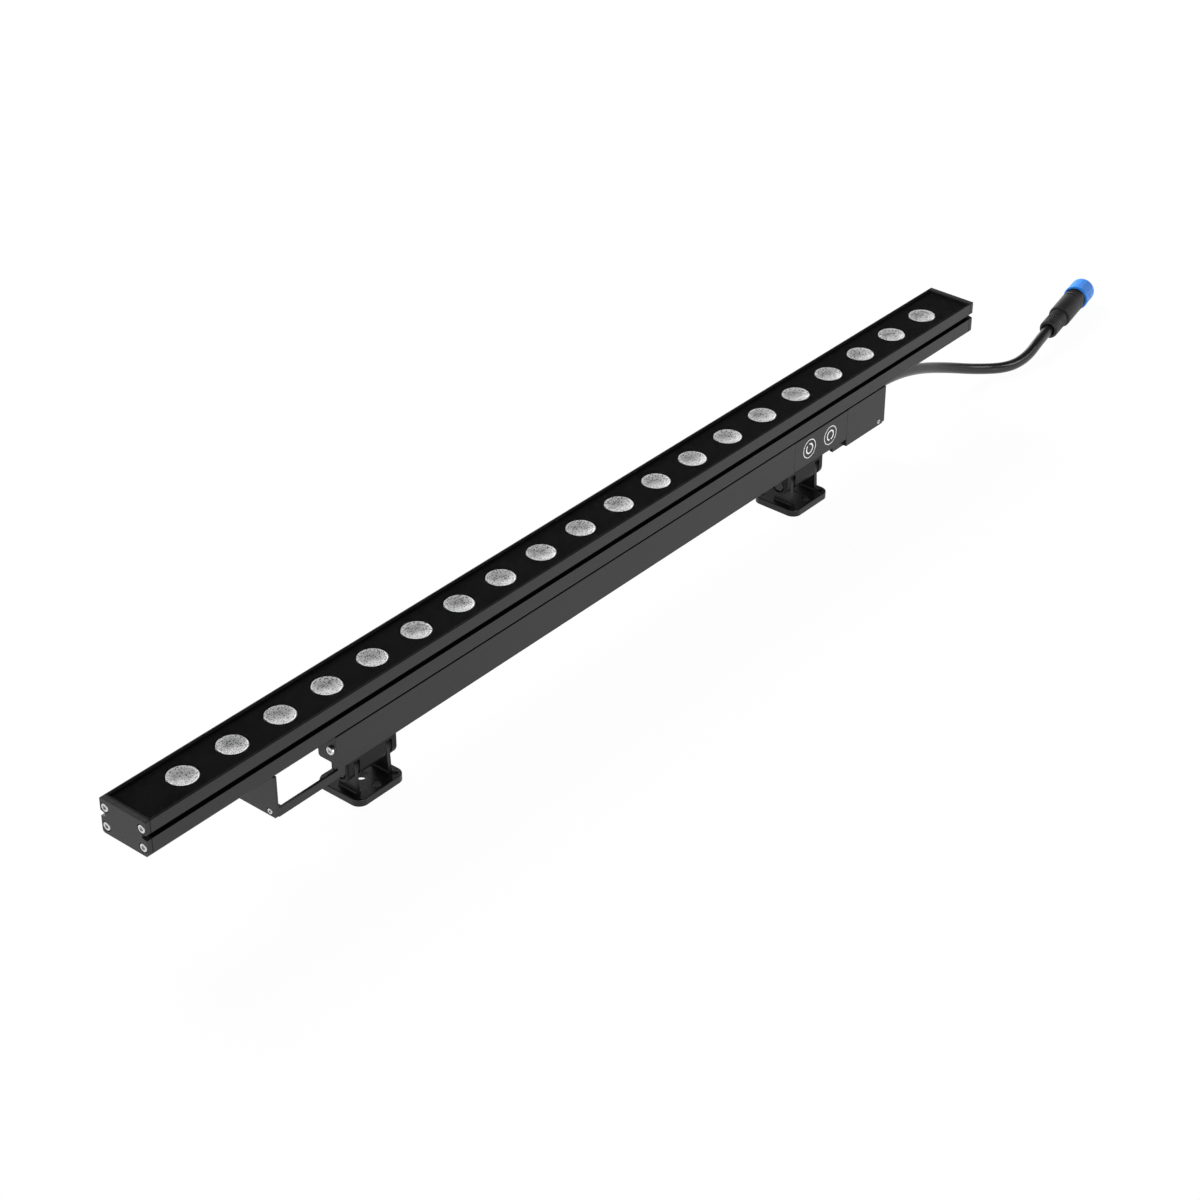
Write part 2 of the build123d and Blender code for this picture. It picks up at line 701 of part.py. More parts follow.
# Rails along the lower edges of the two end compartments
junction_stop = end_right - end_plate_thickness
boss_y = half_width - rail_boss_depth / 2
clip_y = half_width - rail_left_depth + clip_thickness / 2
for edge_name, edge in (("front", -1), ("back", 1)):
    left_outer = end_left + end_plate_thickness
    left_inner = bulkhead_left_face + rail_left_overlap + rail_tongue_left
    with BuildPart() as left_rail:
        with BuildSketch(Plane.XY.offset(rail_bottom)):
            with Locations(((left_outer + left_inner) / 2, edge * (half_width - rail_left_depth / 2))):
                Rectangle(left_inner - left_outer, rail_left_depth)
            with Locations((left_outer + rail_boss_length / 2, edge * boss_y)):
                Rectangle(rail_boss_length, rail_boss_depth)
        extrude(amount=rail_height)
        with BuildSketch(Plane.XY.offset(channel_bottom)):
            with Locations((left_outer + clip_from_end, edge * clip_y)):
                Rectangle(clip_length, clip_thickness)
        extrude(amount=clip_height)
        with Locations(along(left_outer, edge * rail_screw_y, rail_screw_z, (1, 0, 0))):
            Cylinder(plate_screw[0] + screw_clearance, rail_boss_length, align=STAND, mode=Mode.SUBTRACT)
    keep(left_rail, f"rail_left_{edge_name}")

    tongue_y = half_width - rail_tongue_inset - rail_tongue_depth / 2
    with BuildPart() as right_rail:
        with BuildSketch(Plane.XY.offset(rail_bottom)):
            with Locations(((channel_right + junction_stop) / 2, edge * boss_y)):
                Rectangle(junction_stop - channel_right, rail_boss_depth)
            with Locations((channel_right - rail_tongue_right / 2, edge * tongue_y)):
                Rectangle(rail_tongue_right, rail_tongue_depth)
            with Locations((junction_stop - cover_tab_length / 2, edge * half_width)):
                Rectangle(cover_tab_length, 2 * junction_cover_thickness, mode=Mode.SUBTRACT)
        extrude(amount=rail_height)
        with Locations(along(junction_stop, edge * rail_screw_y, rail_screw_z, (-1, 0, 0))):
            Cylinder(plate_screw[0] + screw_clearance, rail_screw_length, align=STAND, mode=Mode.SUBTRACT)
        with Locations(along(cover_screw_x, edge * half_width, cover_screw_z, (0, -edge, 0))):
            Cylinder(cover_screw[0] + screw_clearance, cover_screw_length, align=STAND, mode=Mode.SUBTRACT)
    keep(right_rail, f"rail_right_{edge_name}")

    # Cover over the right compartment, with a tab screwed to the rail
    with BuildPart() as junction_cover:
        with BuildSketch(Plane.XZ.offset(-edge * half_width)):
            with Locations(((channel_right + junction_stop) / 2, channel_mid_z)):
                Rectangle(junction_stop - channel_right, channel_height)
            with Locations((junction_stop - cover_tab_length / 2, channel_bottom)):
                Rectangle(cover_tab_length, rail_height, align=HANG_FLAT)
        extrude(amount=edge * junction_cover_thickness)
        with Locations(along(cover_screw_x, edge * half_width, cover_screw_z, (0, -edge, 0))):
            Cylinder(cover_screw[0] + screw_clearance, cover_screw_length, align=STAND, mode=Mode.SUBTRACT)
            Cylinder(cover_screw[1] + head_clearance, cover_screw[2], align=STAND, mode=Mode.SUBTRACT)
    keep(junction_cover, f"junction_cover_{edge_name}")

group(
    "junction_cover_screws",
    socket_screw(cover_screw, cover_screw_length - cover_screw[2]),
    [
        along(cover_screw_x, edge * (half_width - cover_screw[2]), cover_screw_z, (0, -edge, 0))
        for edge in (-1, 1)
    ],
)

# Hinge blocks: round below the channel's front edge, slotted for the bracket's ears
slot_width = ear_thickness + 2 * slot_side
slot_top = pivot_height + ear_head_radius + slot_top_clearance
block_half = block_length / 2
ear_offsets = (-ear_distance / 2, ear_distance / 2)


def hinge_block(x):
    """The slotted block at one bracket."""
    with BuildPart() as block:
        with BuildSketch(Plane.YZ.offset(x - block_half)):
            with Locations((pivot_y, pivot_height)):
                Circle(pivot_inset)
                Rectangle(2 * pivot_inset, pivot_drop, align=STAND_FLAT)
            with Locations((pivot_y, channel_bottom)):
                Rectangle(2 * pivot_inset, 2 * pivot_inset, align=STAND_FLAT, mode=Mode.SUBTRACT)
        extrude(amount=block_length)
        round_ends = block.edges().filter_by(GeomType.CIRCLE)
        fillet(round_ends, block_edge_radius)
        with BuildSketch(Plane.YZ.offset(x - block_half)):
            with Locations((0, channel_bottom)):
                Rectangle(block_neck_width, web_under - channel_bottom, align=STAND_FLAT)
        extrude(amount=block_length)
        with Locations(*[(x + dx, 0, slot_top) for dx in ear_offsets]):
            Box(slot_width, 2 * bar_width, 2 * bar_width, align=HANG, mode=Mode.SUBTRACT)
        with Locations(along(x - block_half, pivot_y, pivot_height, (1, 0, 0))):
            Cylinder(bolt_radius + bolt_clearance, block_length, align=STAND, mode=Mode.SUBTRACT)
            Cylinder(bolt_recess_radius, bolt_recess, align=STAND, mode=Mode.SUBTRACT)
        with Locations(along(x + block_half, pivot_y, pivot_height, (-1, 0, 0))):
            Cylinder(bolt_recess_radius, bolt_recess, align=STAND, mode=Mode.SUBTRACT)
        with Locations(*[(x + side * hinge_screw_x, hinge_screw_y, hinge_seat_z) for side in (-1, 1)]):
            Cylinder(channel_screw[0] + screw_clearance, channel_height, align=STAND, mode=Mode.SUBTRACT)
            Cylinder(
                hinge_screw_head_radius + head_clearance,
                2 * channel_height,
                align=HANG,
                mode=Mode.SUBTRACT,
            )
    return block


def bracket(x):
    """Foot plate with two ears, cast in one piece."""
    with BuildPart() as cast:
        with BuildSketch():
            with Locations((x, base_y)):
                RectangleRounded(base_length, base_depth, base_corner)
        extrude(amount=base_thickness)
        fillet(cast.edges().group_by(Axis.Z)[-1], base_edge_radius)
        for dx in ear_offsets:
            with BuildSketch(Plane.YZ.offset(x + dx - ear_thickness / 2)):
                with Locations((pivot_y, pivot_height)):
                    Circle(ear_head_radius)
                Polygon(
                    (pivot_y - ear_foot_half, base_thickness),
                    (pivot_y + ear_foot_half, base_thickness),
                    (pivot_y + ear_head_radius, pivot_height),
                    (pivot_y - ear_head_radius, pivot_height),
                    align=None,
                )
                with Locations((pivot_y, pivot_height)):
                    Circle(bolt_radius + bolt_running_clearance, mode=Mode.SUBTRACT)
            extrude(amount=ear_thickness)
        ear_roots = cast.edges().filter_by(Axis.Y).group_by(Axis.Z)[-1].group_by(SortBy.LENGTH)[0]
        fillet(ear_roots, ear_root_radius)
        with BuildSketch():
            with Locations(*[(x, base_y + side * fixing_hole_y) for side in (-1, 1)]):
                Circle(fixing_hole_radius)
            with Locations(*[(x - side * pilot_hole_x, base_y + side * pilot_hole_y) for side in (-1, 1)]):
                Circle(pilot_hole_radius)
            with Locations((x, base_y)):
                Circle(centre_hole_radius)
        extrude(amount=base_thickness, mode=Mode.SUBTRACT)
    return cast


def pivot_bolt(x):
    """Hexagon bolt through block and ears, its head sunk in the left end."""
    with BuildPart() as bolt:
        with BuildSketch(Plane.YZ.offset(x - block_half + bolt_recess)):
            with Locations((pivot_y, pivot_height)):
                Circle(bolt_radius)
        extrude(amount=block_length - bolt_recess)
        with BuildSketch(Plane.YZ.offset(x - block_half + bolt_recess)):
            with Locations((pivot_y, pivot_height)):
                RegularPolygon(bolt_head_radius, 6)
        extrude(amount=-bolt_head_height)
    return bolt


def pivot_nut(x):
    """Hexagon nut, sunk in the right end."""
    with BuildPart() as nut:
        with BuildSketch(Plane.YZ.offset(x + block_half - bolt_recess)):
            with Locations((pivot_y, pivot_height)):
                RegularPolygon(bolt_head_radius, 6)
                Circle(bolt_radius + bolt_clearance, mode=Mode.SUBTRACT)
        extrude(amount=nut_height)
    return nut


def pivot_washers(x):
    """Four washers, one on each face of the slots."""
    with BuildPart() as washers:
        for dx in ear_offsets:
            for face in (-1, 1):
                with BuildSketch(Plane.YZ.offset(x + dx + face * slot_width / 2)):
                    with Locations((pivot_y, pivot_height)):
                        Circle(washer_radius)
                        Circle(bolt_radius + bolt_clearance, mode=Mode.SUBTRACT)
                extrude(amount=-face * washer_thickness)
    return washers


hinge_screw = (channel_screw[0], hinge_screw_head_radius, channel_screw[2])
for side_name, x in zip(("left", "right"), bracket_x):
    keep(hinge_block(x), f"hinge_block_{side_name}")
    keep(bracket(x), f"bracket_{side_name}")
    keep(pivot_bolt(x), f"pivot_bolt_{side_name}")
    keep(pivot_nut(x), f"pivot_nut_{side_name}")
    keep(pivot_washers(x), f"pivot_washers_{side_name}")
    group(
        f"hinge_screws_{side_name}",
        socket_screw(hinge_screw, lamp_screw_tip - hinge_seat_z),
        [(x + side * hinge_screw_x, hinge_screw_y, hinge_seat_z) for side in (-1, 1)],
    )

# Cable gland through the right end plate, its nut inside, and the sheathed lead up into the lamp
gland_face = end_right + gland_length
gland_inner = end_right - gland_shank_length
with BuildPart() as cable_gland:
    with Locations(along(end_right, 0, lead_height, (1, 0, 0))):
        Cylinder(gland_radius, gland_length, align=STAND)
    fillet(cable_gland.edges().group_by(Axis.X)[-1], gland_edge_radius)
    with Locations(along(gland_inner, 0, lead_height, (1, 0, 0))):
        Cylinder(gland_shank_radius, gland_shank_length, align=STAND)
    with Locations(along(gland_face, 0, lead_height, (-1, 0, 0))):
        Cylinder(cord_radius + cord_clearance, gland_recess, align=STAND, mode=Mode.SUBTRACT)
keep(cable_gland, "cable_gland")

with BuildPart() as gland_nut:
    with BuildSketch(Plane.YZ.offset(end_right - end_plate_thickness)):
        with Locations((0, lead_height)):
            RegularPolygon(gland_radius + cord_clearance, 6)
            Circle(gland_shank_radius + screw_clearance, mode=Mode.SUBTRACT)
    extrude(amount=-gland_nut_thickness)
keep(gland_nut, "gland_nut")

with BuildPart() as inner_lead:
    add(wire(
        [
            (gland_inner, 0, lead_height),
            (inner_lead_x, 0, lead_height),
            (inner_lead_x, 0, lead_top),
        ],
        inner_lead_radius,
        inner_lead_bend,
    ))
keep(inner_lead, "inner_lead")

with BuildPart() as lamp_grommet:
    with Locations((inner_lead_x, 0, lamp_bottom)):
        Cylinder(grommet_radius, duct_floor, align=STAND)
        Cylinder(grommet_flange_radius, grommet_flange, align=HANG)
        Cylinder(inner_lead_radius + screw_clearance, 4 * duct_floor, mode=Mode.SUBTRACT)
keep(lamp_grommet, "lamp_grommet")

# Connector: cable nut, body with ringed neck and thread, contacts and dust cap
turn = radians(connector_turn)
axis_direction = (cos(turn), sin(turn), 0)
rear = (connector_x, connector_y, cap_outer_radius)


def on_axis(distance):
    """A plane across the connector's axis, a distance ahead of its rear face."""
    return Plane(origin=tuple(a + distance * d for a, d in zip(rear, axis_direction)), z_dir=axis_direction)


body_start = nut_length + neck_length
thread_start = body_start + body_length
cap_start = thread_start + thread_shown
front = thread_start + thread_length

with BuildPart(on_axis(0)) as connector_nut:
    Cylinder(nut_radius, nut_length, align=STAND)
    fillet(connector_nut.edges().filter_by(GeomType.CIRCLE), nut_edge_radius)
    Cylinder(cord_radius + cord_clearance, nut_recess, align=STAND, mode=Mode.SUBTRACT)
keep(connector_nut, "connector_nut")

with BuildPart(on_axis(nut_length)) as connector_body:
    with Locations((0, 0, neck_length)):
        Cylinder(body_radius, body_length, align=STAND)
    fillet(connector_body.edges().filter_by(GeomType.CIRCLE), body_edge_radius)
    Cylinder(neck_radius, neck_length, align=STAND)
    with Locations(*[(0, 0, neck_ring_pitch * (index + 0.5)) for index in range(neck_rings)]):
        Cylinder(neck_radius + neck_ring_height, neck_ring_width, align=STAND)
    with Locations((0, 0, neck_length + body_length)):
        Cylinder(thread_radius, thread_length, align=STAND)
    with Locations((0, 0, neck_length + body_length + thread_length)):
        Cylinder(
            socket_radius,
            socket_depth,
            align=HANG,
            mode=Mode.SUBTRACT,
        )
keep(connector_body, "connector_body")

with BuildPart(on_axis(front - socket_depth)) as contact_pins:
    with PolarLocations(pin_ring_radius, pin_count):
        Cylinder(pin_radius, pin_length, align=STAND)
keep(contact_pins, "contact_pins")

with BuildPart(on_axis(cap_start)) as dust_cap:
    Cylinder(cap_outer_radius, cap_length, align=STAND)
    fillet(dust_cap.edges().filter_by(GeomType.CIRCLE), cap_edge_radius)
    Cylinder(thread_radius + cap_fit, cap_length - cap_wall_end, align=STAND, mode=Mode.SUBTRACT)
keep(dust_cap, "dust_cap")

# Free cord: out of the gland, down to the floor and along it to the connector
cord_points = [
    Vector(gland_face - gland_recess, 0, lead_height),
    Vector(gland_face - gland_recess + cord_end_run, 0, lead_height),
    *[Vector(end_right + ahead, y, z) for ahead, y, z in cord_route],
    on_axis(nut_recess - cord_end_run).origin,
    on_axis(nut_recess).origin,
]


def cord_radii(points):
    """The largest bend that each corner's two runs leave room for."""
    radii = []
    for before, corner, after in zip(points, points[1:], points[2:]):
        turn_angle = radians((corner - before).get_angle(after - corner))
        shorter = min((corner - before).length, (after - corner).length)
        radii.append(cord_bend_share * shorter / tan(turn_angle / 2))
    return radii


with BuildPart() as power_cord:
    with BuildLine() as cord_path:
        FilletPolyline(*cord_points, radius=cord_radii(cord_points))
    with BuildSketch(Plane(origin=cord_path.line @ 0, z_dir=cord_path.line % 0)):
        Circle(cord_radius)
    sweep(path=cord_path.line)
keep(power_cord, "power_cord")
cord_length = sum(edge.length for edge in cord_path.edges())
tube_volume = pi * cord_radius**2 * cord_length
print("cord length", round(cord_length, 1))
print("cord bend radii", [round(radius) for radius in cord_radii(cord_points)])
print("cord volume over section times length", round(power_cord.part.volume / tube_volume, 5))
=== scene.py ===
"""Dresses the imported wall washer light: studio, supply lead, optics, fasteners and finishes.

Metres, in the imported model's frame: X along the bar, the front at -Y, Z up.
"""

import logging
import math
from dataclasses import dataclass
from enum import Enum
from typing import Callable, Sequence

import bmesh
import bpy
from mathutils import Matrix, Vector


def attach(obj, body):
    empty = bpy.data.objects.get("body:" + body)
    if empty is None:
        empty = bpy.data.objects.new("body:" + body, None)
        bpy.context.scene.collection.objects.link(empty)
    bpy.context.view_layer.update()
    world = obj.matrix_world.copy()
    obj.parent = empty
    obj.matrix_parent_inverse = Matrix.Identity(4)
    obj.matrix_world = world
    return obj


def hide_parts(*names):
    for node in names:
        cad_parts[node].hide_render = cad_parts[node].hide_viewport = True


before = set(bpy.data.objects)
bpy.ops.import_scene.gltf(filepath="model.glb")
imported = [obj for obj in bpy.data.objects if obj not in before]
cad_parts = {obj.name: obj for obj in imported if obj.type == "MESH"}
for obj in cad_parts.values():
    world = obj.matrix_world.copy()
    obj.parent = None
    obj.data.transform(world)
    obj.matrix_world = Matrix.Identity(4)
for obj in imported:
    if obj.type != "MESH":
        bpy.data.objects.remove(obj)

LOG = logging.getLogger("wall_washer")
Point = tuple[float, float, float]
Colour = tuple[float, float, float]
Profile = Sequence[tuple[float, float]]
Span = tuple[float, float]

# Sockets of a mix node, which has a set for numbers and a set for colours.
FACTOR, NUMBER_A, NUMBER_B, COLOUR_A, COLOUR_B = 0, 2, 3, 6, 7
NUMBER_OUT, COLOUR_OUT = 0, 2
RANGE_SOCKETS = ("From Min", "From Max", "To Min", "To Max")
# Octaves of a finish's fine grain and of its wide clouds.
GRAIN_OCTAVES, CLOUD_OCTAVES = 4.0, 2.0
# Sides of the turned pieces on the lead, and of a lens.
TURNED_SIDES, LENS_SIDES = 72, 48


class Body(Enum):
    """The bodies that pieces ride on."""

    LUMINAIRE = "luminaire"
    CAP = "cap"


def scaled(colour: Colour, factor: float) -> tuple[float, float, float, float]:
    """A colour made darker or lighter, with full opacity."""
    return (*(min(1.0, part * factor) for part in colour), 1.0)


class Shading:
    """A material's node tree with one principled shader and patterns on Object coordinates."""

    def __init__(self, name: str) -> None:
        """Starts the material.

        Args:
            name: the finish's name.
        """
        self.material = bpy.data.materials.new(name)
        self.material.use_nodes = True
        self.tree = self.material.node_tree
        self.shader = self.tree.nodes["Principled BSDF"]
        self.coords = self.tree.nodes.new("ShaderNodeTexCoord")

    def fix(self, **values: float) -> None:
        """Sets plain values on the shader's own sockets, named with underscores."""
        for name, value in values.items():
            self.shader.inputs[name.replace("_", " ")].default_value = value

    def noise(self, scale: float, detail: float, stretch: Point) -> bpy.types.NodeSocket:
        """Adds a noise pattern.

        Args:
            scale: grains per metre.
            detail: octaves.
            stretch: factors on the coordinates, small ones draw the grain out.

        Returns:
            The pattern's value socket.
        """
        mapping = self.tree.nodes.new("ShaderNodeMapping")
        mapping.inputs["Scale"].default_value = stretch
        texture = self.tree.nodes.new("ShaderNodeTexNoise")
        texture.inputs["Scale"].default_value = scale
        texture.inputs["Detail"].default_value = detail
        self.tree.links.new(self.coords.outputs["Object"], mapping.inputs["Vector"])
        self.tree.links.new(mapping.outputs["Vector"], texture.inputs["Vector"])
        return texture.outputs["Fac"]

    def tint(self, pattern: bpy.types.NodeSocket, colour: Colour, spread: float) -> None:
        """Varies the base colour with a pattern.

        Args:
            pattern: value that drives the change.
            colour: middle colour.
            spread: share by which it darkens and lightens.
        """
        mix = self.tree.nodes.new("ShaderNodeMix")
        mix.data_type = "RGBA"
        mix.inputs[COLOUR_A].default_value = scaled(colour, 1 - spread)
        mix.inputs[COLOUR_B].default_value = scaled(colour, 1 + spread)
        self.tree.links.new(pattern, mix.inputs[FACTOR])
        self.tree.links.new(mix.outputs[COLOUR_OUT], self.shader.inputs["Base Color"])

    def darken(self, share: bpy.types.NodeSocket, dark: tuple[float, float, float, float]) -> None:
        """Lets the base colour fall to a dark one.

        Args:
            share: how much of the base colour stays, up to 1.
            dark: what it falls to.
        """
        base = self.shader.inputs["Base Color"]
        mix = self.tree.nodes.new("ShaderNodeMix")
        mix.data_type = "RGBA"
        mix.inputs[COLOUR_A].default_value = dark
        self.tree.links.new(share, mix.inputs[FACTOR])
        self.tree.links.new(base.links[0].from_socket, mix.inputs[COLOUR_B])
        self.tree.links.new(mix.outputs[COLOUR_OUT], base)

    def span(self, value: bpy.types.NodeSocket, source: Span, target: Span) -> bpy.types.NodeSocket:
        """Maps a value from one range to another.

        Args:
            value: what is mapped.
            source: the range that it comes from.
            target: the range that it goes to.

        Returns:
            The mapped value's socket.
        """
        made = self.tree.nodes.new("ShaderNodeMapRange")
        for name, limit in zip(RANGE_SOCKETS, (*source, *target)):
            made.inputs[name].default_value = limit
        self.tree.links.new(value, made.inputs["Value"])
        return made.outputs["Result"]

    def bump(self, pattern: bpy.types.NodeSocket, depth: float, strength: float) -> None:
        """Raises the surface with a pattern.

        Args:
            pattern: the relief's height.
            depth: the relief's depth, in metres.
            strength: the relief's share, up to 1.
        """
        bump = self.tree.nodes.new("ShaderNodeBump")
        bump.inputs["Distance"].default_value = depth
        bump.inputs["Strength"].default_value = strength
        self.tree.links.new(pattern, bump.inputs["Height"])
        self.tree.links.new(bump.outputs["Normal"], self.shader.inputs["Normal"])


@dataclass(frozen=True)
class Finish:
    """A finish with cloudy colour, grainy gloss and a fine relief."""

    name: str
    colour: Colour
    roughness: float
    specular: float = 0.5
    metallic: float = 0.0
    alpha: float = 1.0
    spread: float = 0.12
    grain: float = 900.0
    stretch: Point = (1, 1, 1)
    depth: float = 0.00006
    strength: float = 0.3
    cloud_size: float = 40.0
    grain_middle: Span = (0.3, 0.7)
    polish: Span = (-0.05, 0.07)

    def material(self) -> bpy.types.Material:
        """Makes the finish's material, once.

        Returns:
            The material.
        """
        made = bpy.data.materials.get(self.name)
        if made:
            return made
        shading = Shading(self.name)
        shading.fix(Metallic=self.metallic, Specular_IOR_Level=self.specular, Alpha=self.alpha)
        grain = shading.noise(self.grain, GRAIN_OCTAVES, self.stretch)
        clouds = shading.noise(self.grain / self.cloud_size, CLOUD_OCTAVES, self.stretch)
        shading.tint(clouds, self.colour, self.spread)
        gloss = (self.roughness + self.polish[0], self.roughness + self.polish[1])
        rough = shading.span(grain, self.grain_middle, gloss)
        shading.tree.links.new(rough, shading.shader.inputs["Roughness"])
        shading.bump(grain, self.depth, self.strength)
        self.adorn(shading)
        return shading.material

    def adorn(self, shading: Shading) -> None:
        """Leaves the plain finish as it is."""


@dataclass(frozen=True)
class PaintedShadeGrooveFinish(Finish):
    """A finish with painted shade: colour and gloss blackened behind the bar's side faces, in the groove and
    on the top.
    """

    face: float = 0.02285
    # left: share of colour and gloss kept where the shade is painted.
    left: float = 0.12

    def adorn(self, shading: Shading) -> None:
        """Paints shade: blackens the colour and gloss of what lies behind the side faces.

        Args:
            shading: the finish's node tree.
        """
        nodes, links = shading.tree.nodes, shading.tree.links
        parts = nodes.new("ShaderNodeSeparateXYZ")
        links.new(shading.coords.outputs["Object"], parts.inputs[0])
        away = nodes.new("ShaderNodeMath")
        away.operation = "ABSOLUTE"
        links.new(parts.outputs["Y"], away.inputs[0])
        outer = nodes.new("ShaderNodeMath")
        outer.operation = "GREATER_THAN"
        outer.inputs[1].default_value = self.face
        links.new(away.outputs[0], outer.inputs[0])
        # Painted shade: gloss and base colour fall behind the side faces, in the groove and on the top.
        gloss = shading.span(outer.outputs[0], (0, 1), (self.specular * self.left, self.specular))
        links.new(gloss, shading.shader.inputs["Specular IOR Level"])
        shading.darken(outer.outputs[0], scaled(self.colour, self.left))


@dataclass(frozen=True)
class PaintedBeadShadeFinish(Finish):
    """A finish with painted shade: fine dark specks in the base colour, for the shade between the beads of a
    pressed optic.
    """

    specks: float = 540.0
    scatter: float = 0.6
    edges: Span = (0.25, 0.42)
    darkest_painted_shade: float = 0.16

    def adorn(self, shading: Shading) -> None:
        """Paints shade: darkens the base colour at the specks.

        Args:
            shading: the finish's node tree.
        """
        cells = shading.tree.nodes.new("ShaderNodeTexVoronoi")
        cells.inputs["Scale"].default_value = self.specks
        cells.inputs["Randomness"].default_value = self.scatter
        shading.tree.links.new(shading.coords.outputs["Object"], cells.inputs["Vector"])
        # Painted shade: the specks darken the base colour at fine dots.
        share = shading.span(cells.outputs["Distance"], self.edges, (self.darkest_painted_shade, 1))
        shading.darken(share, scaled(self.colour, 0))


COAT = Finish("black_anodised_extrusion", (0.012, 0.012, 0.0123), 0.34, 0.3, grain=1400, stretch=(0.05, 1, 1))
# Painted shade on the bar: its groove and top are blackened in the finish.
GROOVE_PAINTED_SHADE_COAT = PaintedShadeGrooveFinish("black_anodised_bar_painted_shade", COAT.colour, COAT.roughness, COAT.specular,
                        grain=COAT.grain, stretch=COAT.stretch)
CAST = Finish("black_powder_coat_casting", (0.004, 0.004, 0.0042), 0.36, 0.28, grain=1100)
# Painted shade: the casting's colour with weaker gloss, so the hinge blocks stay dim as in the shade between
# the ears.
HINGE_BLOCK_PAINTED_SHADE = Finish("black_hinge_casting_painted_shade", (0.004, 0.004, 0.0042), 0.36, 0.13, grain=1100)
PANE = Finish("coated_clear_pane", (0.004, 0.004, 0.0045), 0.09, 0.4, alpha=0.08, grain=60, depth=0.000002)
PRINT = Finish("black_screen_print", (0.0045, 0.0045, 0.0047), 0.6, 0.02, grain=700)
SILICONE = Finish("black_silicone", (0.008, 0.008, 0.0082), 0.55, 0.1, grain=600)
# Painted shade between the beads: the optic's finish darkens its base colour at fine specks.
OPTIC = PaintedBeadShadeFinish("beaded_silvered_optic_painted_bead_shade", (0.95, 0.95, 0.96), 0.28, 0.6, 0.36, spread=0.06, grain=1600)
PHOSPHOR = Finish("lamp_phosphor", (0.8, 0.66, 0.22), 0.5, spread=0.06)
RESIST = Finish("white_solder_resist", (0.72, 0.73, 0.7), 0.4, spread=0.05)
STEEL = Finish("stainless_fastener", (0.62, 0.62, 0.63), 0.26, metallic=1.0, spread=0.08, grain=2500)
BLACKED = Finish("blackened_pivot_steel", (0.02, 0.02, 0.021), 0.45, 0.3, metallic=0.3, grain=2000)
MOULDED = Finish("black_moulded_plastic", (0.014, 0.014, 0.015), 0.44, 0.3, grain=1800, depth=0.00005)
DRIVER = Finish("dark_component_plastic", (0.03, 0.03, 0.034), 0.45, grain=1500)
SHEATH = Finish("matte_rubber_sheath", (0.008, 0.008, 0.0084), 0.27, 0.5, grain=1200, depth=0.00003)
PLATED = Finish("plated_contact", (0.72, 0.58, 0.3), 0.25, metallic=1.0, grain=2500)
BLUE = Finish("blue_cap_plastic", (0.026, 0.21, 0.7), 0.4, 0.25, spread=0.04, grain=1500, depth=0.00002)
INK = Finish("white_pad_print", (0.8, 0.8, 0.8), 0.6, 0.2, spread=0.06, grain=2000, depth=0.00002)


def lathe(profile: Profile, sides: int) -> bmesh.types.BMesh:
    """Turns a profile about the Z axis.

    Args:
        profile: (radius, height) pairs; a zero radius closes the end to a pole.
        sides: segments round the turn.

    Returns:
        The turned mesh with outward faces.
    """
    made = bmesh.new()
    rings: list[list[bmesh.types.BMVert]] = []
    for radius, height in profile:
        if radius < 1e-7:
            rings.append([made.verts.new((0, 0, height))])
            continue
        angles = (2 * math.pi * step / sides for step in range(sides))
        rings.append([made.verts.new((radius * math.cos(a), radius * math.sin(a), height)) for a in angles])
    for lower, upper in zip(rings, rings[1:]):
        for step in range(sides):
            after = (step + 1) % sides
            corners = [lower[step % len(lower)], lower[after % len(lower)]]
            corners += [upper[after % len(upper)], upper[step % len(upper)]]
            made.faces.new(list(dict.fromkeys(corners)))
    bmesh.ops.recalc_face_normals(made, faces=made.faces)
    return made


def settle(made: bmesh.types.BMesh, name: str, smooth_angle: float = 35.0) -> bpy.types.Mesh:
    """Turns a worked mesh into a stored one, smooth but for its sharp edges.

    Args:
        made: the worked mesh, freed here.
        name: the stored mesh's name.
        smooth_angle: degrees above which an edge stays sharp.

    Returns:
        The stored mesh.
    """
    for edge in made.edges:
        edge.smooth = edge.calc_face_angle(math.pi) < math.radians(smooth_angle)
    for face in made.faces:
        face.smooth = True
    mesh = bpy.data.meshes.new(name)
    made.to_mesh(mesh)
    made.free()
    return mesh


def show(name: str, mesh: bpy.types.Mesh, finish: Finish | None = None) -> bpy.types.Object:
    """Puts a mesh into the scene at the origin.

    Args:
        name: the piece's name.
        mesh: its mesh, already in place.
        finish: its finish, if the mesh has none yet.

    Returns:
        The new object.
    """
    if finish:
        mesh.materials.clear()
        mesh.materials.append(finish.material())
    piece = bpy.data.objects.new(name, mesh)
    bpy.context.scene.collection.objects.link(piece)
    return piece


def seat(piece: bpy.types.Object, body: Body, slot: str, *nodes: str) -> bpy.types.Object:
    """Fixes a finished piece to a body.

    Args:
        piece: the piece, in place.
        body: what it moves with.
        slot: the record's material slot; not used.
        nodes: CAD nodes that it stands for.

    Returns:
        The piece.
    """
    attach(piece, body.value)
    if nodes:
        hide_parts(*nodes)
    LOG.info("%s: %d faces on %s", piece.name, len(getattr(piece.data, "polygons", [])), body.value)
    return piece


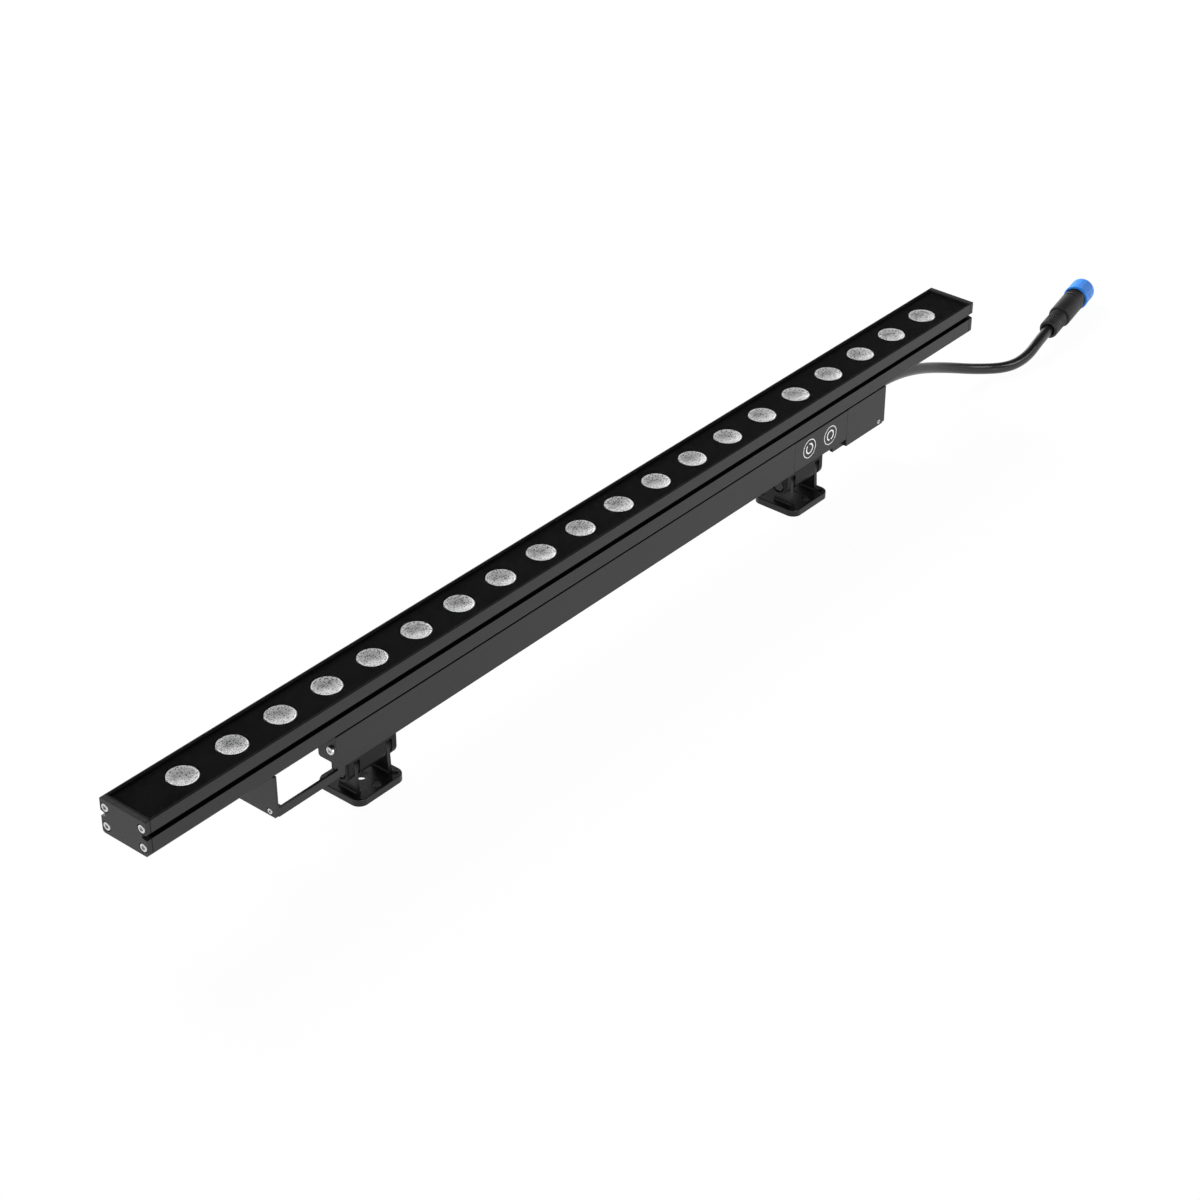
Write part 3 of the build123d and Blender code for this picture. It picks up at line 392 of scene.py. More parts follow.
class Recipe:
    """A Geometry Nodes tree with named inputs, made once and baked to plain meshes."""

    KINDS = {"Object": "NodeSocketObject", "Float": "NodeSocketFloat", "Material": "NodeSocketMaterial"}

    def __init__(self, name: str, **inputs: str) -> None:
        """Starts the tree.

        Args:
            name: the tree's name.
            inputs: each input's name and kind.
        """
        self.tree = bpy.data.node_groups.new(name, "GeometryNodeTree")
        face = self.tree.interface
        face.new_socket("Geometry", in_out="INPUT", socket_type="NodeSocketGeometry")
        made = {key: face.new_socket(key, in_out="INPUT", socket_type=self.KINDS[kind])
                for key, kind in inputs.items()}
        face.new_socket("Geometry", in_out="OUTPUT", socket_type="NodeSocketGeometry")
        self.identifiers = {key: socket.identifier for key, socket in made.items()}
        self.start = self.tree.nodes.new("NodeGroupInput")

    def node(self, kind: str, **settings: object) -> bpy.types.Node:
        """Adds a node and sets its plain properties."""
        made = self.tree.nodes.new(kind)
        for key, value in settings.items():
            setattr(made, key, value)
        return made

    def link(self, source: bpy.types.NodeSocket, target: bpy.types.NodeSocket) -> None:
        """Joins two sockets."""
        self.tree.links.new(source, target)

    def maths(self, operation: str, *values: object) -> bpy.types.NodeSocket:
        """Adds a sum of sockets and plain numbers.

        Args:
            operation: the maths node's operation.
            values: sockets or numbers.

        Returns:
            The result's socket.
        """
        made = self.node("ShaderNodeMath", operation=operation)
        for index, value in enumerate(values):
            if isinstance(value, (int, float)):
                made.inputs[index].default_value = value
            else:
                self.link(value, made.inputs[index])
        return made.outputs[0]

    def close(self, instances: bpy.types.NodeSocket) -> None:
        """Ends the tree: real geometry with the finish on it."""
        real = self.node("GeometryNodeRealizeInstances")
        paint = self.node("GeometryNodeSetMaterial")
        end = self.node("NodeGroupOutput")
        self.link(instances, real.inputs["Geometry"])
        self.link(real.outputs["Geometry"], paint.inputs["Geometry"])
        self.link(self.start.outputs["Finish"], paint.inputs["Material"])
        self.link(paint.outputs["Geometry"], end.inputs[0])

    def bake(self, name: str, points: bpy.types.Mesh, **values: object) -> bpy.types.Mesh:
        """Runs the tree and keeps its result as a plain mesh.

        Args:
            name: the mesh's name.
            points: what the tree starts from.
            values: the inputs' values.

        Returns:
            The plain mesh.
        """
        carrier = bpy.data.objects.new(name + "_carrier", points)
        bpy.context.scene.collection.objects.link(carrier)
        modifier = carrier.modifiers.new("recipe", "NODES")
        modifier.node_group = self.tree
        for key, value in values.items():
            modifier[self.identifiers[key]] = value
        graph = bpy.context.evaluated_depsgraph_get()
        mesh = bpy.data.meshes.new_from_object(carrier.evaluated_get(graph), depsgraph=graph)
        mesh.name = name
        carrier.modifiers.remove(modifier)
        bpy.data.objects.remove(carrier)
        return mesh


class Placer:
    """Sets copies of one template at points, each turned to its own facing."""

    def __init__(self) -> None:
        """Builds the tree."""
        recipe = Recipe("set_at_points", Template="Object", Finish="Material")
        info = recipe.node("GeometryNodeObjectInfo")
        facing = recipe.node("GeometryNodeInputNamedAttribute", data_type="FLOAT_VECTOR")
        facing.inputs["Name"].default_value = "facing"
        turn = recipe.node("FunctionNodeAlignRotationToVector", axis="Z")
        copies = recipe.node("GeometryNodeInstanceOnPoints")
        recipe.link(recipe.start.outputs["Template"], info.inputs["Object"])
        recipe.link(facing.outputs["Attribute"], turn.inputs["Vector"])
        recipe.link(recipe.start.outputs["Geometry"], copies.inputs["Points"])
        recipe.link(info.outputs["Geometry"], copies.inputs["Instance"])
        recipe.link(turn.outputs["Rotation"], copies.inputs["Rotation"])
        recipe.close(copies.outputs["Instances"])
        self.recipe = recipe

    def place(self, name: str, template: bpy.types.Mesh, places: Sequence[tuple[Point, Point]],
              finish: Finish) -> bpy.types.Object:
        """Sets the copies and shows them as one piece.

        Args:
            name: the piece's name.
            template: the shape to copy, its own axis along Z.
            places: (point, facing) pairs.
            finish: what it is made of.

        Returns:
            The new piece.
        """
        points = bpy.data.meshes.new(name + "_points")
        points.from_pydata([place for place, _ in places], [], [])
        facing = points.attributes.new("facing", "FLOAT_VECTOR", "POINT")
        for index, (_, direction) in enumerate(places):
            facing.data[index].vector = direction
        pattern = show(name + "_template", template)
        mesh = self.recipe.bake(name, points, Template=pattern, Finish=finish.material())
        bpy.data.objects.remove(pattern)
        return show(name, mesh)


@dataclass
class Studio:
    """Camera at the photograph's angle, pale floor, soft lamps and a pale horizon."""

    eye: Point = (-1.45572, -1.22418, 1.25711)
    forward: Point = (0.64174, 0.53813, -0.54643)
    lens_mm: float = 84.459
    floor_radius: float = 9.0
    floor_glow: float = 0.97
    ambient: float = 0.6
    zenith: float = 0.03
    fade_heights: Span = (0.2, 0.5)
    aim: Point = (0, 0, 0.05)

    def build(self) -> None:
        """Makes the camera, floor, lamps and world."""
        bpy.context.scene.view_settings.view_transform = "Standard"
        self.camera()
        self.floor()
        self.world()
        self.lamp("front_softbox", (-0.9, -3.0, 0.55), 1.4, 70.0)
        self.lamp("end_softbox", (-3.0, -0.2, 0.55), 1.4, 20.0)
        self.lamp("back_softbox", (1.6, 2.4, 0.8), 1.4, 16.0)
        self.lamp("edge_softbox", (1.9, -1.6, 1.75), 0.8, 14.0)
        self.lamp("top_fill", (0.6, 2.6, 1.8), 1.6, 205.0, mirrored=False)

    def camera(self) -> None:
        """Sets the camera."""
        lens = bpy.data.cameras.new("photo_camera")
        lens.lens = self.lens_mm
        lens.sensor_width = 36.0
        lens.clip_start = 0.05
        lens.clip_end = 60.0
        camera = bpy.data.objects.new("photo_camera", lens)
        camera.location = self.eye
        camera.rotation_euler = Vector(self.forward).to_track_quat("-Z", "Y").to_euler()
        bpy.context.scene.collection.objects.link(camera)
        bpy.context.scene.camera = camera

    @staticmethod
    def seen_directly(tree: bpy.types.NodeTree) -> bpy.types.NodeSocket:
        """Adds a value that is 1 for camera, glossy and transmission rays.

        Args:
            tree: the node tree to add to.

        Returns:
            The value's socket.
        """
        path = tree.nodes.new("ShaderNodeLightPath")
        value = path.outputs["Is Camera Ray"]
        for name in ("Is Glossy Ray", "Is Transmission Ray"):
            larger = tree.nodes.new("ShaderNodeMath")
            larger.operation = "MAXIMUM"
            tree.links.new(value, larger.inputs[0])
            tree.links.new(path.outputs[name], larger.inputs[1])
            value = larger.outputs[0]
        return value

    def floor(self) -> None:
        """Lays the pale floor, which keeps a soft shadow."""
        made = bmesh.new()
        bmesh.ops.create_circle(made, cap_ends=True, radius=self.floor_radius, segments=96)
        piece = show("floor", settle(made, "floor"))
        paper = bpy.data.materials.new("pale_floor")
        paper.use_nodes = True
        tree = paper.node_tree
        tree.nodes.remove(tree.nodes["Principled BSDF"])
        matte = tree.nodes.new("ShaderNodeBsdfDiffuse")
        matte.inputs["Color"].default_value = (0.9, 0.9, 0.9, 1)
        glow = tree.nodes.new("ShaderNodeEmission")
        share = tree.nodes.new("ShaderNodeMath")
        share.operation = "MULTIPLY"
        share.inputs[1].default_value = self.floor_glow
        mix = tree.nodes.new("ShaderNodeMixShader")
        tree.links.new(self.seen_directly(tree), share.inputs[0])
        tree.links.new(share.outputs[0], mix.inputs[0])
        tree.links.new(matte.outputs[0], mix.inputs[1])
        tree.links.new(glow.outputs[0], mix.inputs[2])
        tree.links.new(mix.outputs[0], tree.nodes["Material Output"].inputs["Surface"])
        piece.data.materials.append(paper)

    def world(self) -> None:
        """Sets a plain sky: white round the horizon and dim overhead, white where the camera sees it."""
        world = bpy.data.worlds.new("studio")
        world.use_nodes = True
        bpy.context.scene.world = world
        tree = world.node_tree
        sky = tree.nodes["Background"]
        sky.inputs["Color"].default_value = (1, 1, 1, 1)
        direction = tree.nodes.new("ShaderNodeTexCoord")
        parts = tree.nodes.new("ShaderNodeSeparateXYZ")
        fade = tree.nodes.new("ShaderNodeMapRange")
        for name, limit in zip(RANGE_SOCKETS, (*self.fade_heights, 1.0, self.zenith)):
            fade.inputs[name].default_value = limit
        path = tree.nodes.new("ShaderNodeLightPath")
        direct = tree.nodes.new("ShaderNodeMix")
        direct.inputs[NUMBER_B].default_value = 1.0
        soft = tree.nodes.new("ShaderNodeMath")
        soft.operation = "MULTIPLY"
        soft.inputs[1].default_value = self.ambient
        level = tree.nodes.new("ShaderNodeMix")
        tree.links.new(direction.outputs["Generated"], parts.inputs[0])
        tree.links.new(parts.outputs["Z"], fade.inputs["Value"])
        tree.links.new(path.outputs["Is Camera Ray"], direct.inputs[FACTOR])
        tree.links.new(fade.outputs["Result"], direct.inputs[NUMBER_A])
        tree.links.new(fade.outputs["Result"], soft.inputs[0])
        tree.links.new(self.seen_directly(tree), level.inputs[FACTOR])
        tree.links.new(soft.outputs[0], level.inputs[NUMBER_A])
        tree.links.new(direct.outputs[NUMBER_OUT], level.inputs[NUMBER_B])
        tree.links.new(level.outputs[NUMBER_OUT], sky.inputs["Strength"])

    def lamp(self, name: str, place: Point, size: float, watts: float, mirrored: bool = True) -> None:
        """Adds a soft lamp that faces the bar.

        Args:
            name: the lamp's name.
            place: where it hangs.
            size: the side of its square face.
            watts: its power.
            mirrored: whether glossy faces reflect it.
        """
        light = bpy.data.lights.new(name, "AREA")
        light.shape = "SQUARE"
        light.size = size
        light.energy = watts
        lamp = bpy.data.objects.new(name, light)
        lamp.location = place
        way = Vector(self.aim) - Vector(place)
        lamp.rotation_euler = way.to_track_quat("-Z", "Y").to_euler()
        lamp.visible_glossy = mirrored
        bpy.context.scene.collection.objects.link(lamp)


@dataclass
class SupplyLead:
    """Free cord from the gland to the capped connector on the floor."""

    cord_radius: float = 0.005
    gland_face: float = 0.373
    lead_height: float = 0.052
    end_run: float = 0.028
    rear: Point = (0.639, -0.0225, 0.012)
    turn_degrees: float = 12.0
    nut_length: float = 0.016
    nut_radius: float = 0.009
    nut_recess: float = 0.005
    neck_length: float = 0.014
    neck_radius: float = 0.0084
    body_length: float = 0.040
    body_radius: float = 0.0107
    thread_radius: float = 0.0096
    thread_length: float = 0.024
    thread_shown: float = 0.005
    thread_pitch: float = 0.002
    thread_depth: float = 0.0006
    ring_pitch: float = 0.0036
    socket_radius: float = 0.007
    socket_depth: float = 0.012
    cap_radius: float = 0.012
    cap_length: float = 0.022
    cap_wall: float = 0.0022
    cap_fit: float = 0.00035

    @property
    def axis(self) -> Vector:
        """The connector's direction."""
        angle = math.radians(self.turn_degrees)
        return Vector((math.cos(angle), math.sin(angle), 0))

    def on_axis(self, distance: float) -> Vector:
        """A point on the connector's axis, ahead of its rear face."""
        return Vector(self.rear) + distance * self.axis

    def laid(self, distance: float) -> Matrix:
        """The place of a shape turned about Z, set on the connector's axis."""
        turn = self.axis.to_track_quat("Z", "Y").to_matrix().to_4x4()
        return Matrix.Translation(self.on_axis(distance)) @ turn

    def route(self) -> list[Point]:
        """The cord's control points, gland to connector."""
        return [
            (self.gland_face, 0, self.lead_height),
            (self.gland_face + self.end_run, 0, self.lead_height),
            (0.452, 0.004, 0.039),
            (0.497, 0.003, 0.022),
            (0.536, -0.011, 0.0085),
            (0.563, -0.028, 0.005),
            (0.590, -0.031, 0.006),
            tuple(self.on_axis(self.nut_recess - self.end_run)),
            tuple(self.on_axis(self.nut_recess)),
        ]

    def cord(self) -> bpy.types.Object:
        """Makes the cord on one smooth spline.

        Returns:
            The cord.
        """
        curve = bpy.data.curves.new("power_cord_line", "CURVE")
        curve.dimensions = "3D"
        curve.bevel_depth = self.cord_radius
        curve.bevel_resolution = 6
        curve.resolution_u = 16
        curve.use_fill_caps = True
        spline = curve.splines.new("NURBS")
        route = self.route()
        spline.points.add(len(route) - 1)
        for point, place in zip(spline.points, route):
            point.co = (*place, 1)
        spline.order_u = 3
        spline.use_endpoint_u = True
        curve.materials.append(SHEATH.material())
        piece = bpy.data.objects.new("supply_cord", curve)
        bpy.context.scene.collection.objects.link(piece)
        return seat(piece, Body.LUMINAIRE, "sheath", "power_cord")

    def build(self) -> None:
        cord = self.cord()
        pieces = [self.cable_nut(), self.plug_body(), self.dust_cap(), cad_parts["contact_pins"]]

    def turned(self, name: str, profile: Profile, distance: float, finish: Finish,
               detail: Callable[[bmesh.types.BMesh], None] | None = None) -> bpy.types.Object:
        """Makes a turned piece on the connector's axis.

        Args:
            name: the piece's name.
            profile: (radius, height) pairs from its own rear.
            distance: its rear, from the connector's rear face.
            finish: what it is made of.
            detail: a change to the turned mesh before it is placed.

        Returns:
            The piece.
        """
        made = lathe(profile, TURNED_SIDES)
        if detail:
            detail(made)
        bmesh.ops.transform(made, matrix=self.laid(distance), verts=made.verts)
        return show(name, settle(made, name), finish)

    @staticmethod
    def flutes(depth: float, low: float, high: float, every: int) -> Callable[[bmesh.types.BMesh], None]:
        """A change that presses grip flutes into a turned wall.

        Args:
            depth: how far they go in.
            low: smallest radius that is fluted.
            high: largest radius that is fluted.
            every: sides from one flute to the next.

        Returns:
            The change.
        """
        def press(made: bmesh.types.BMesh) -> None:
            """Moves every few rows of the wall inwards."""
            for vert in made.verts:
                radius = math.hypot(vert.co.x, vert.co.y)
                side = round(math.atan2(vert.co.y, vert.co.x) / (2 * math.pi / TURNED_SIDES)) % every
                if low < radius < high and side == 0:
                    vert.co.x *= 1 - depth / radius
                    vert.co.y *= 1 - depth / radius
        return press

    def cable_nut(self) -> bpy.types.Object:
        """Makes the clamping nut that the cord enters.

        Returns:
            The piece.
        """
        reach, length, recess = self.nut_radius, self.nut_length, self.nut_recess
        bore = self.cord_radius + 0.0006
        profile = [(0, recess), (bore, recess), (bore, 0.0012), (bore + 0.0008, 0), (reach - 0.0016, 0),
                   (reach - 0.0004, 0.0006), (reach, 0.0018), (reach, length - 0.004),
                   (reach - 0.0008, length - 0.0034), (reach - 0.0008, length - 0.0026),
                   (reach, length - 0.002), (reach - 0.0006, length), (0, length)]
        grip = self.flutes(0.0004, reach - 0.0001, reach + 0.0001, 3)
        piece = self.turned("cable_nut", profile, 0, MOULDED, grip)
        return seat(piece, Body.LUMINAIRE, "black_plastic", "connector_nut")

    def plug_body(self) -> bpy.types.Object:
        """Makes the connector's ringed neck, body and thread.

        Returns:
            The piece.
        """
        profile: list[tuple[float, float]] = [(0, 0), (self.neck_radius, 0)]
        for ring in range(3):
            start = 0.0018 + self.ring_pitch * ring
            profile += [(self.neck_radius, start), (self.neck_radius + 0.0005, start + 0.0003),
                        (self.neck_radius + 0.0005, start + 0.0013), (self.neck_radius, start + 0.0016)]
        near, far, reach = self.neck_length, self.neck_length + self.body_length, self.body_radius
        profile += [(self.neck_radius, near), (reach - 0.0012, near), (reach - 0.0003, near + 0.0004),
                    (reach, near + 0.0012), (reach, far - 0.0095), (reach - 0.0006, far - 0.009),
                    (reach - 0.0006, far - 0.008), (reach, far - 0.0075), (reach, far - 0.0035),
                    (reach - 0.0006, far - 0.003), (reach - 0.0006, far - 0.002), (reach, far - 0.0015),
                    (reach - 0.0003, far - 0.0003), (reach - 0.001, far)]
        root = self.thread_radius - self.thread_depth
        profile.append((root, far))
        for turn in range(int(self.thread_length / self.thread_pitch)):
            start = far + self.thread_pitch * turn
            profile += [(root, start + 0.0004), (self.thread_radius, start + 0.001), (root, start + 0.0016)]
        end = far + self.thread_length
        profile += [(self.thread_radius - 0.0008, end), (self.socket_radius, end),
                    (self.socket_radius, end - self.socket_depth), (0, end - self.socket_depth)]
        piece = self.turned("plug_body", profile, self.nut_length, MOULDED)
        return seat(piece, Body.LUMINAIRE, "black_plastic", "connector_body")

    def dust_cap(self) -> bpy.types.Object:
        """Makes the fluted cap over the thread.

        Returns:
            The piece.
        """
        start = self.nut_length + self.neck_length + self.body_length + self.thread_shown
        bore, reach, length = self.thread_radius + self.cap_fit, self.cap_radius, self.cap_length
        profile = [(0, length - self.cap_wall), (bore, length - self.cap_wall), (bore, 0),
                   (reach - 0.0006, 0), (reach, 0.0006), (reach, 0.0022), (reach - 0.0002, 0.0028),
                   (reach - 0.0002, length - 0.0022), (reach - 0.0007, length - 0.0008),
                   (reach - 0.002, length), (0.004, length), (0.0036, length - 0.0003), (0, length - 0.0003)]
        grip = self.flutes(0.00035, reach - 0.00025, reach - 0.00015, 4)
        piece = self.turned("blue_dust_cap", profile, start, BLUE, grip)
        return seat(piece, Body.CAP, "blue_cap", "dust_cap")


@dataclass
class LensRow:
    """Twenty collimator lenses with beaded faces, seen through the frame's round windows."""

    count: int = 20
    first_x: float = -0.4445
    pitch: float = 0.0472
    board_top: float = 0.0841
    height: float = 0.0084
    face_radius: float = 0.0117
    rise: float = 0.0013
    rim: float = 0.0005
    dish: float = 0.0036
    flange_radius: float = 0.0119
    flange_thickness: float = 0.0017
    foot_radius: float = 0.006
    pocket_radius: float = 0.004
    pocket_height: float = 0.003
    dish_steps: int = 8
    bead_pitch: float = 0.0016
    bead_height: float = 0.00018
    bead_share: float = 0.42
    bead_field: float = 2.4
    row_share: float = 0.866
    smooth_degrees: float = 80

    def bead(self) -> bpy.types.Mesh:
        """Makes one six-sided bead.

        Returns:
            Its mesh, standing at the origin.
        """
        reach, rise = self.bead_pitch * self.bead_share, self.bead_height
        profile = [(reach, -rise * 0.2), (reach * 0.72, rise * 0.62), (0, rise)]
        return settle(lathe(profile, 6), "bead", self.smooth_degrees)

    def bead_recipe(self) -> Recipe:
        """Builds the tree that sets beads over a dished disc.

        Returns:
            The tree.
        """
        recipe = Recipe("bead_field", Bead="Object", Finish="Material", Reach="Float", Step="Float",
                        Dish="Float")
        reach, step, dish = (recipe.start.outputs[name] for name in ("Reach", "Step", "Dish"))
        grid = recipe.node("GeometryNodeMeshGrid")
        width = recipe.maths("MULTIPLY", reach, self.bead_field)
        rows = recipe.maths("FLOOR", recipe.maths("DIVIDE", width, step))
        span = recipe.maths("MULTIPLY", recipe.maths("SUBTRACT", rows, 1.0), step)
        for name in ("Size X", "Size Y"):
            recipe.link(span, grid.inputs[name])
        for name in ("Vertices X", "Vertices Y"):
            recipe.link(rows, grid.inputs[name])
        place = recipe.node("ShaderNodeSeparateXYZ")
        recipe.link(recipe.node("GeometryNodeInputPosition").outputs[0], place.inputs[0])
        line = recipe.maths("ROUND", recipe.maths("DIVIDE", place.outputs["Y"], step))
        odd = recipe.maths("FLOORED_MODULO", line, 2.0)
        stagger = recipe.maths("MULTIPLY", odd, recipe.maths("MULTIPLY", step, 0.5))
        across = recipe.maths("ADD", place.outputs["X"], stagger)
        up = recipe.maths("MULTIPLY", place.outputs["Y"], self.row_share)
        square = recipe.maths("ADD", recipe.maths("MULTIPLY", across, across),
                              recipe.maths("MULTIPLY", up, up))
        share = recipe.maths("DIVIDE", square, recipe.maths("MULTIPLY", reach, reach))
        fall = recipe.maths("MULTIPLY", dish, recipe.maths("SUBTRACT", share, 1.0))
        spot = recipe.node("ShaderNodeCombineXYZ")
        for socket, value in zip(spot.inputs, (across, up, fall)):
            recipe.link(value, socket)
        move = recipe.node("GeometryNodeSetPosition")
        recipe.link(grid.outputs["Mesh"], move.inputs["Geometry"])
        recipe.link(spot.outputs[0], move.inputs["Position"])
        trim = recipe.node("GeometryNodeDeleteGeometry", domain="POINT")
        after = recipe.node("ShaderNodeVectorMath", operation="LENGTH")
        recipe.link(recipe.node("GeometryNodeInputPosition").outputs[0], after.inputs[0])
        beyond = recipe.maths("GREATER_THAN", after.outputs["Value"], reach)
        recipe.link(move.outputs["Geometry"], trim.inputs["Geometry"])
        recipe.link(beyond, trim.inputs["Selection"])
        info = recipe.node("GeometryNodeObjectInfo")
        recipe.link(recipe.start.outputs["Bead"], info.inputs["Object"])
        copies = recipe.node("GeometryNodeInstanceOnPoints")
        recipe.link(trim.outputs["Geometry"], copies.inputs["Points"])
        recipe.link(info.outputs["Geometry"], copies.inputs["Instance"])
        recipe.close(copies.outputs["Instances"])
        return recipe

    def lens(self) -> bpy.types.Mesh:
        """Makes one lens, standing on its foot at the origin.

        Returns:
            Its mesh.
        """
        seat_level, top = self.height, self.height + self.rise
        reach = self.face_radius - self.rim
        flare = self.flange_radius - self.flange_thickness / 2
        profile = [(0, self.pocket_height), (self.pocket_radius, self.pocket_height), (self.pocket_radius, 0),
                   (self.foot_radius, 0), (flare, seat_level - self.flange_thickness),
                   (self.flange_radius, seat_level - self.flange_thickness), (self.flange_radius, seat_level),
                   (self.face_radius, seat_level), (self.face_radius, top), (reach, top)]
        for step in range(1, self.dish_steps + 1):
            radius = reach * (1 - step / self.dish_steps)
            profile.append((radius, top - self.dish * (1 - (radius / reach) ** 2)))
        made = lathe(profile, LENS_SIDES)
        pattern = show("bead_template", self.bead())
        beads = self.bead_recipe().bake(
            "beads", bpy.data.meshes.new("none"), Bead=pattern, Finish=OPTIC.material(),
            Reach=reach - self.bead_pitch * 0.5, Step=self.bead_pitch, Dish=self.dish)
        bpy.data.objects.remove(pattern)
        beads.transform(Matrix.Translation((0, 0, top)))
        made.from_mesh(beads)
        return settle(made, "lens", self.smooth_degrees)

    def build(self, placer: Placer) -> None:
        """Sets the row of lenses.

        Args:
            placer: sets the copies.
        """
        places = [((self.first_x + self.pitch * index, 0, self.board_top), (0, 0, 1))
                  for index in range(self.count)]
        lens = self.lens()
        half = self.count // 2
        left = placer.place("lens_row_left", lens, places[:half], OPTIC)
        right = placer.place("lens_row_right", lens.copy(), places[half:], OPTIC)
        seat(left, Body.LUMINAIRE, "lens", "lenses")
        seat(right, Body.LUMINAIRE, "lens", "lenses")


@dataclass
class Screw:
    """A button-head screw with a hexagon socket: shank along +Z, head below the origin."""

    shank: float
    head: float
    height: float
    length: float
    socket: float = 0.5

    def mesh(self) -> bpy.types.Mesh:
        """Makes the screw.

        Returns:
            Its mesh.
        """
        sides = 24
        profile = [(0, self.length), (self.shank * 0.7, self.length),
                   (self.shank, self.length - self.shank * 0.5), (self.shank, 0),
                   (self.head, 0), (self.head, -self.height * 0.5),
                   (self.head * 0.96, -self.height * 0.8), (self.head * 0.88, -self.height * 0.96),
                   (self.head * 0.8, -self.height)]
        made = lathe(profile, sides)
        made.verts.ensure_lookup_table()
        ring = made.verts[-sides:]
        walls = [ring]
        for level in (-self.height, -self.height * 0.35):
            loop = []
            for step in range(sides):
                angle = 2 * math.pi * step / sides
                flat = math.cos(math.pi / 6) / math.cos((angle + math.pi / 6) % (math.pi / 3) - math.pi / 6)
                reach = self.head * self.socket * flat
                loop.append(made.verts.new((reach * math.cos(angle), reach * math.sin(angle), level)))
            walls.append(loop)
        for outer, inner in zip(walls, walls[1:]):
            for step in range(sides):
                after = (step + 1) % sides
                made.faces.new((outer[step], outer[after], inner[after], inner[step]))
        made.faces.new(walls[-1])
        bmesh.ops.recalc_face_normals(made, faces=made.faces)
        return settle(made, "screw", 30)


@dataclass
class Fasteners:
    """The screws that show: end caps, bulkheads, end plates and covers."""

    bar_half: float = 0.5
    cap_y: float = 0.0185
    cap_levels: tuple[float, float] = (0.089, 0.073)
    bulkhead_left: float = -0.319
    bulkhead_right: float = 0.310
    bulkhead_y: float = 0.0174
    bulkhead_z: float = 0.0534
    end_left: float = -0.382
    end_right: float = 0.367
    rail_y: float = 0.0165
    rail_z: float = 0.034
    cover_x: float = 0.359
    cover_z: float = 0.0337
    half_width: float = 0.023

    def build(self, placer: Placer) -> None:
        """Sets every group.

        Args:
            placer: sets the copies.
        """
        cap = Screw(0.002, 0.0037, 0.0022, 0.012)
        for side, inward in (("left", 1), ("right", -1)):
            x = -inward * (self.bar_half - cap.height)
            places = [((x, y, z), (inward, 0, 0)) for y in (-self.cap_y, self.cap_y) for z in self.cap_levels]
            self.group(placer, f"end_cap_screws_{side}", cap, places, f"cap_screws_{side}")
        ends = (("left", Screw(0.0015, 0.0037, 0.002, 0.010), self.bulkhead_left, 1),
                ("right", Screw(0.0015, 0.003, 0.002, 0.010), self.bulkhead_right, -1))
        for side, bulkhead, x, way in ends:
            places = [((x, y, self.bulkhead_z), (way, 0, 0)) for y in (-self.bulkhead_y, self.bulkhead_y)]
            self.group(placer, f"bulkhead_button_screws_{side}", bulkhead, places, "bulkhead_screws")
        rail = Screw(0.0015, 0.0026, 0.0018, 0.005)
        ends = ((self.end_left + rail.height, 1), (self.end_right - rail.height, -1))
        places = [((x, y, self.rail_z), (way, 0, 0)) for x, way in ends for y in (-self.rail_y, self.rail_y)]
        self.group(placer, "rail_button_screws", rail, places, "rail_screws")
        cover = Screw(0.00125, 0.0022, 0.0014, 0.0032)
        reach = self.half_width - cover.height
        places = [((self.cover_x, edge * reach, self.cover_z), (0, -edge, 0)) for edge in (-1, 1)]
        self.group(placer, "cover_button_screws", cover, places, "junction_cover_screws")

    def group(self, placer: Placer, name: str, screw: Screw, places: Sequence[tuple[Point, Point]],
              node: str) -> None:
        """Sets one group of screws in place of its CAD node.

        Args:
            placer: sets the copies.
            name: the piece's name.
            screw: the screw's sizes.
            places: (seat, direction) pairs.
            node: the CAD node that it stands for.
        """
        seat(placer.place(name, screw.mesh(), places, STEEL), Body.LUMINAIRE, "steel", node)


@dataclass
class CoverMarks:
    """Two plain printed rings on the service cover."""

    centres: tuple[float, float] = (0.255, 0.285)
    level: float = 0.0526
    face: float = -0.023
    proud: float = 0.00008
    outer: float = 0.0089
    line: float = 0.0008
    inner: float = 0.0051
    inner_line: float = 0.0014
    inner_arcs: tuple[Span, Span] = ((130.0, 455.0), (-75.0, 255.0))
    steps: int = 48

    def band(self, made: bmesh.types.BMesh, x: float, outer: float, line: float, arc: Span) -> None:
        """Adds a flat band along an arc.

        Args:
            made: the mesh to add to.
            x: its centre along the bar.
            outer: outer radius.
            line: width of the band.
            arc: first and last angle in degrees, from +X towards +Z.
        """
        start, stop = arc
        y = self.face - self.proud
        last: tuple | None = None
        for step in range(self.steps + 1):
            angle = math.radians(start + (stop - start) * step / self.steps)
            pair = tuple(made.verts.new((x + r * math.cos(angle), y, self.level + r * math.sin(angle)))
                         for r in (outer - line, outer))
            if last:
                made.faces.new((last[0], last[1], pair[1], pair[0]))
            last = pair

    def build(self) -> None:
        """Prints the marks."""
        made = bmesh.new()
        for x, arc in zip(self.centres, self.inner_arcs):
            self.band(made, x, self.outer, self.line, (0, 360))
            self.band(made, x, self.inner, self.inner_line, arc)
        bmesh.ops.remove_doubles(made, verts=made.verts, dist=1e-6)
        bmesh.ops.recalc_face_normals(made, faces=made.faces)
        for face in made.faces:
            if face.normal.y > 0:
                face.normal_flip()
        seat(show("cover_rings", settle(made, "cover_rings"), INK), Body.LUMINAIRE, "board")


